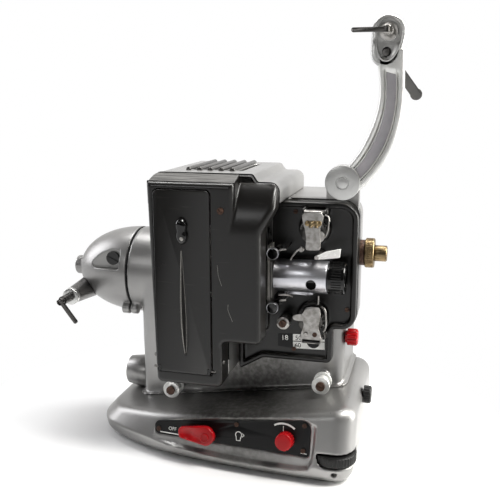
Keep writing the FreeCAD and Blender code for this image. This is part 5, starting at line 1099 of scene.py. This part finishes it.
HEAD_DROP = ((39.6, 198.4), (45.0, 196.2), (48.4, 191.0), (48.8, 184.4), (46.8, 176.4), (42.6, 169.2),
             (37.8, 167.2), (33.6, 169.4), (31.2, 176.0), (30.4, 184.0), (31.2, 191.4), (34.4, 196.6))


def head_hollows(depth):
    """What is cut from the front of the arm's head: the drop-shaped recess and the bore of the crank axle."""
    recess = softened(plate("recess", smooth_outline(HEAD_DROP, 5), (4.0, depth)), 0.3)
    return [recess, rod("bore", "y", CRANK_AXLE, 8.0, 14.0, 3.5, 32)]


def arm_head():
    """The head with its drop-shaped recess and bright rim, and the hub of the spindle."""
    shell = softened(plate("head", head_outline(), (ARM_FRONT, 22.4)), 2.2, 4, 50)
    shell = cut_with(shell, head_hollows(ARM_HEAD_CUT))
    drop = smooth_outline(HEAD_DROP, 5)
    rim = wire("rim", [(u, 7.7, v) for u, v in drop[::3] + drop[:1]], 0.7)
    hub = lathed("hub", "y", SPINDLE, [(9.6, 6.8), (8.4, 6.6), (8.0, 5.6), (8.6, 5.0), (9.6, 4.9)], 48)
    placed(gathered("arm_head", [shell, rim, hub]), "arm", "aluminium", "head", angle=40)


def arm_hole_shade():
    """A black lining and floor inside the hole round the crank axle: painted shade."""
    hole = lathed("arm_hole_shade", "y", CRANK_AXLE, [(13.6, 0.0), (13.6, 3.0), (9.2, 3.1), (9.1, 3.4), (9.4, 3.5),
                                                (13.9, 3.45), (13.9, 0.0)], 40)
    placed(hole, "arm", "black_plastic", "rubber")


def arm_pivot():
    """The pivot disc with a turned rim and a rivet in its middle."""
    disc = lathed("arm_pivot", "y", (8.3, 75.4), [(16.6, 0.0), (16.6, 13.2), (16.0, 13.8), (6.0, 13.8),
                                                  (5.3, 13.5), (5.0, 12.9), (5.0, 5.3), (5.35, 5.0),
                                                  (5.35, 4.6), (5.0, 4.3), (4.8, 3.8), (4.8, 0.0)], 72)
    placed(disc, "arm", "aluminium", "head", angle=40)


def reel_arm():
    arm = cut_with(arm_plate(), head_hollows(ARM_CUT))
    arm.name = "reel_arm_dressed"
    arm_pivot()
    stands_for("reel_arm", arm, "arm", 40)
    arm_head()
    arm_hole_shade()
    arm_channel()


# Motor and drive

def motor_gasket():
    """The dark ring between the motor barrel and its dome."""
    ring = lathed("motor_gasket", "x", (57.0, -17.5), [(-185.6, 37.0), (-185.6, 39.8), (-184.4, 39.8),
                                                       (-184.4, 37.0), (-185.6, 37.0)], 96)
    placed(ring, "machine", "belt_rubber")


def framing_knob():
    """The red knob, with grooves all round its rim."""
    knob = lathed("framing_knob_dressed", "x", (25.0, -57.0),
                  [(12.4, 0.0), (12.4, 5.2), (13.6, 5.4), (13.9, 6.9), (14.8, 7.2), (20.6, 7.2), (22.0, 6.6),
                   (22.7, 5.2), (22.8, 3.0), (22.6, 0.0)], 96, 14, 0.7, (4, 5, 6))
    stands_for("framing_knob", knob)


VARIATION = variation_group()
ROW = row_tree()
FINISHES = make_finishes()
set_stage()

# Size of the grid of the casting's skin, rounds of smoothing, and share of the faces that is kept
CASTINGS = {"base_casting": (1.1, 8, 0.6), "body_casting": (1.2, 8, 0.6), "lamp_house": (0.8, 4, 0.35),
            "front_cover": (0.7, 7, 0.4), "motor_dome": (0.6, 4, 0.35), "mechanism_plate": (0.8, 4, 0.7)}
SOFT_EDGES = {node: width for width, nodes in (
    (0.15, ("tilt_wheel", "film_gate", "upper_sprocket", "lower_sprocket")),
    (0.2, ("control_panel", "end_knob", "lens_barrel", "coupling_nut", "upper_spindle", "take_up_spindle")),
    (0.25, ("drive_shaft",)),
    (0.3, ("speed_knob", "back_cover", "gate_roller_upper", "gate_roller_lower", "coupling_bush",
           "arm_gear_cover", "upper_latch", "take_up_collar", "take_up_latch")),
    (0.4, ("loop_roller", "path_roller_right", "path_roller_left", "rewind_crank")),
    (0.8, ("arm_bracket",)), (1.0, ("switch_lever",))) for node in nodes}
OWN_PIECES = ("lamp_door", "lens_holder", "gate_lever", "mains_inlet", "door_latch", "upper_guard",
              "lower_guard", "reel_arm", "framing_knob")
OWN_FINISH = {
    "rusty": ("panel_screws", "coupling_bush", "roller_screws"), "arm": ("arm_gear_cover",),
    "base": ("base_casting",), "body": ("body_casting",), "steel": ("loop_roller",),
    # The take-up bearing and the rewind crank take the darker enamel, which is painted shade.
    "pale": ("path_roller_right", "path_roller_left"), "shade_painted_casting": ("rewind_crank", "take_up_bearing"),
    "dark_steel": ("take_up_latch", "upper_latch", "door_hinge_pin", "upper_sprocket", "lower_sprocket"),
    "black": ("gate_roller_upper", "gate_roller_lower", "focus_ring", "lens_barrel")}

for node in SLOT_OF:
    if node in OWN_PIECES:
        continue
    if node in CASTINGS:
        dress_casting(node, *CASTINGS[node])
    elif node in SOFT_EDGES:
        dress(node, SOFT_EDGES[node])
    else:
        keep(node)

panel_markings()
lever_hub()
lamp_door()
hinge_screws()
mains_inlet()
lens_tube()
gate_lever()
plate_skirt()
door_latch()
top_ribs()
case_seams()
cover_scuffs()
speed_label()
guard_piece("upper_guard", UPPER_GUARD, 52.1, 1)
upper_guard_details()
guard_piece("lower_guard", LOWER_GUARD, -51.6, -1)
lower_guard_details()
gate_guides()
gate_roller_rims()
reel_arm()
motor_gasket()
framing_knob()
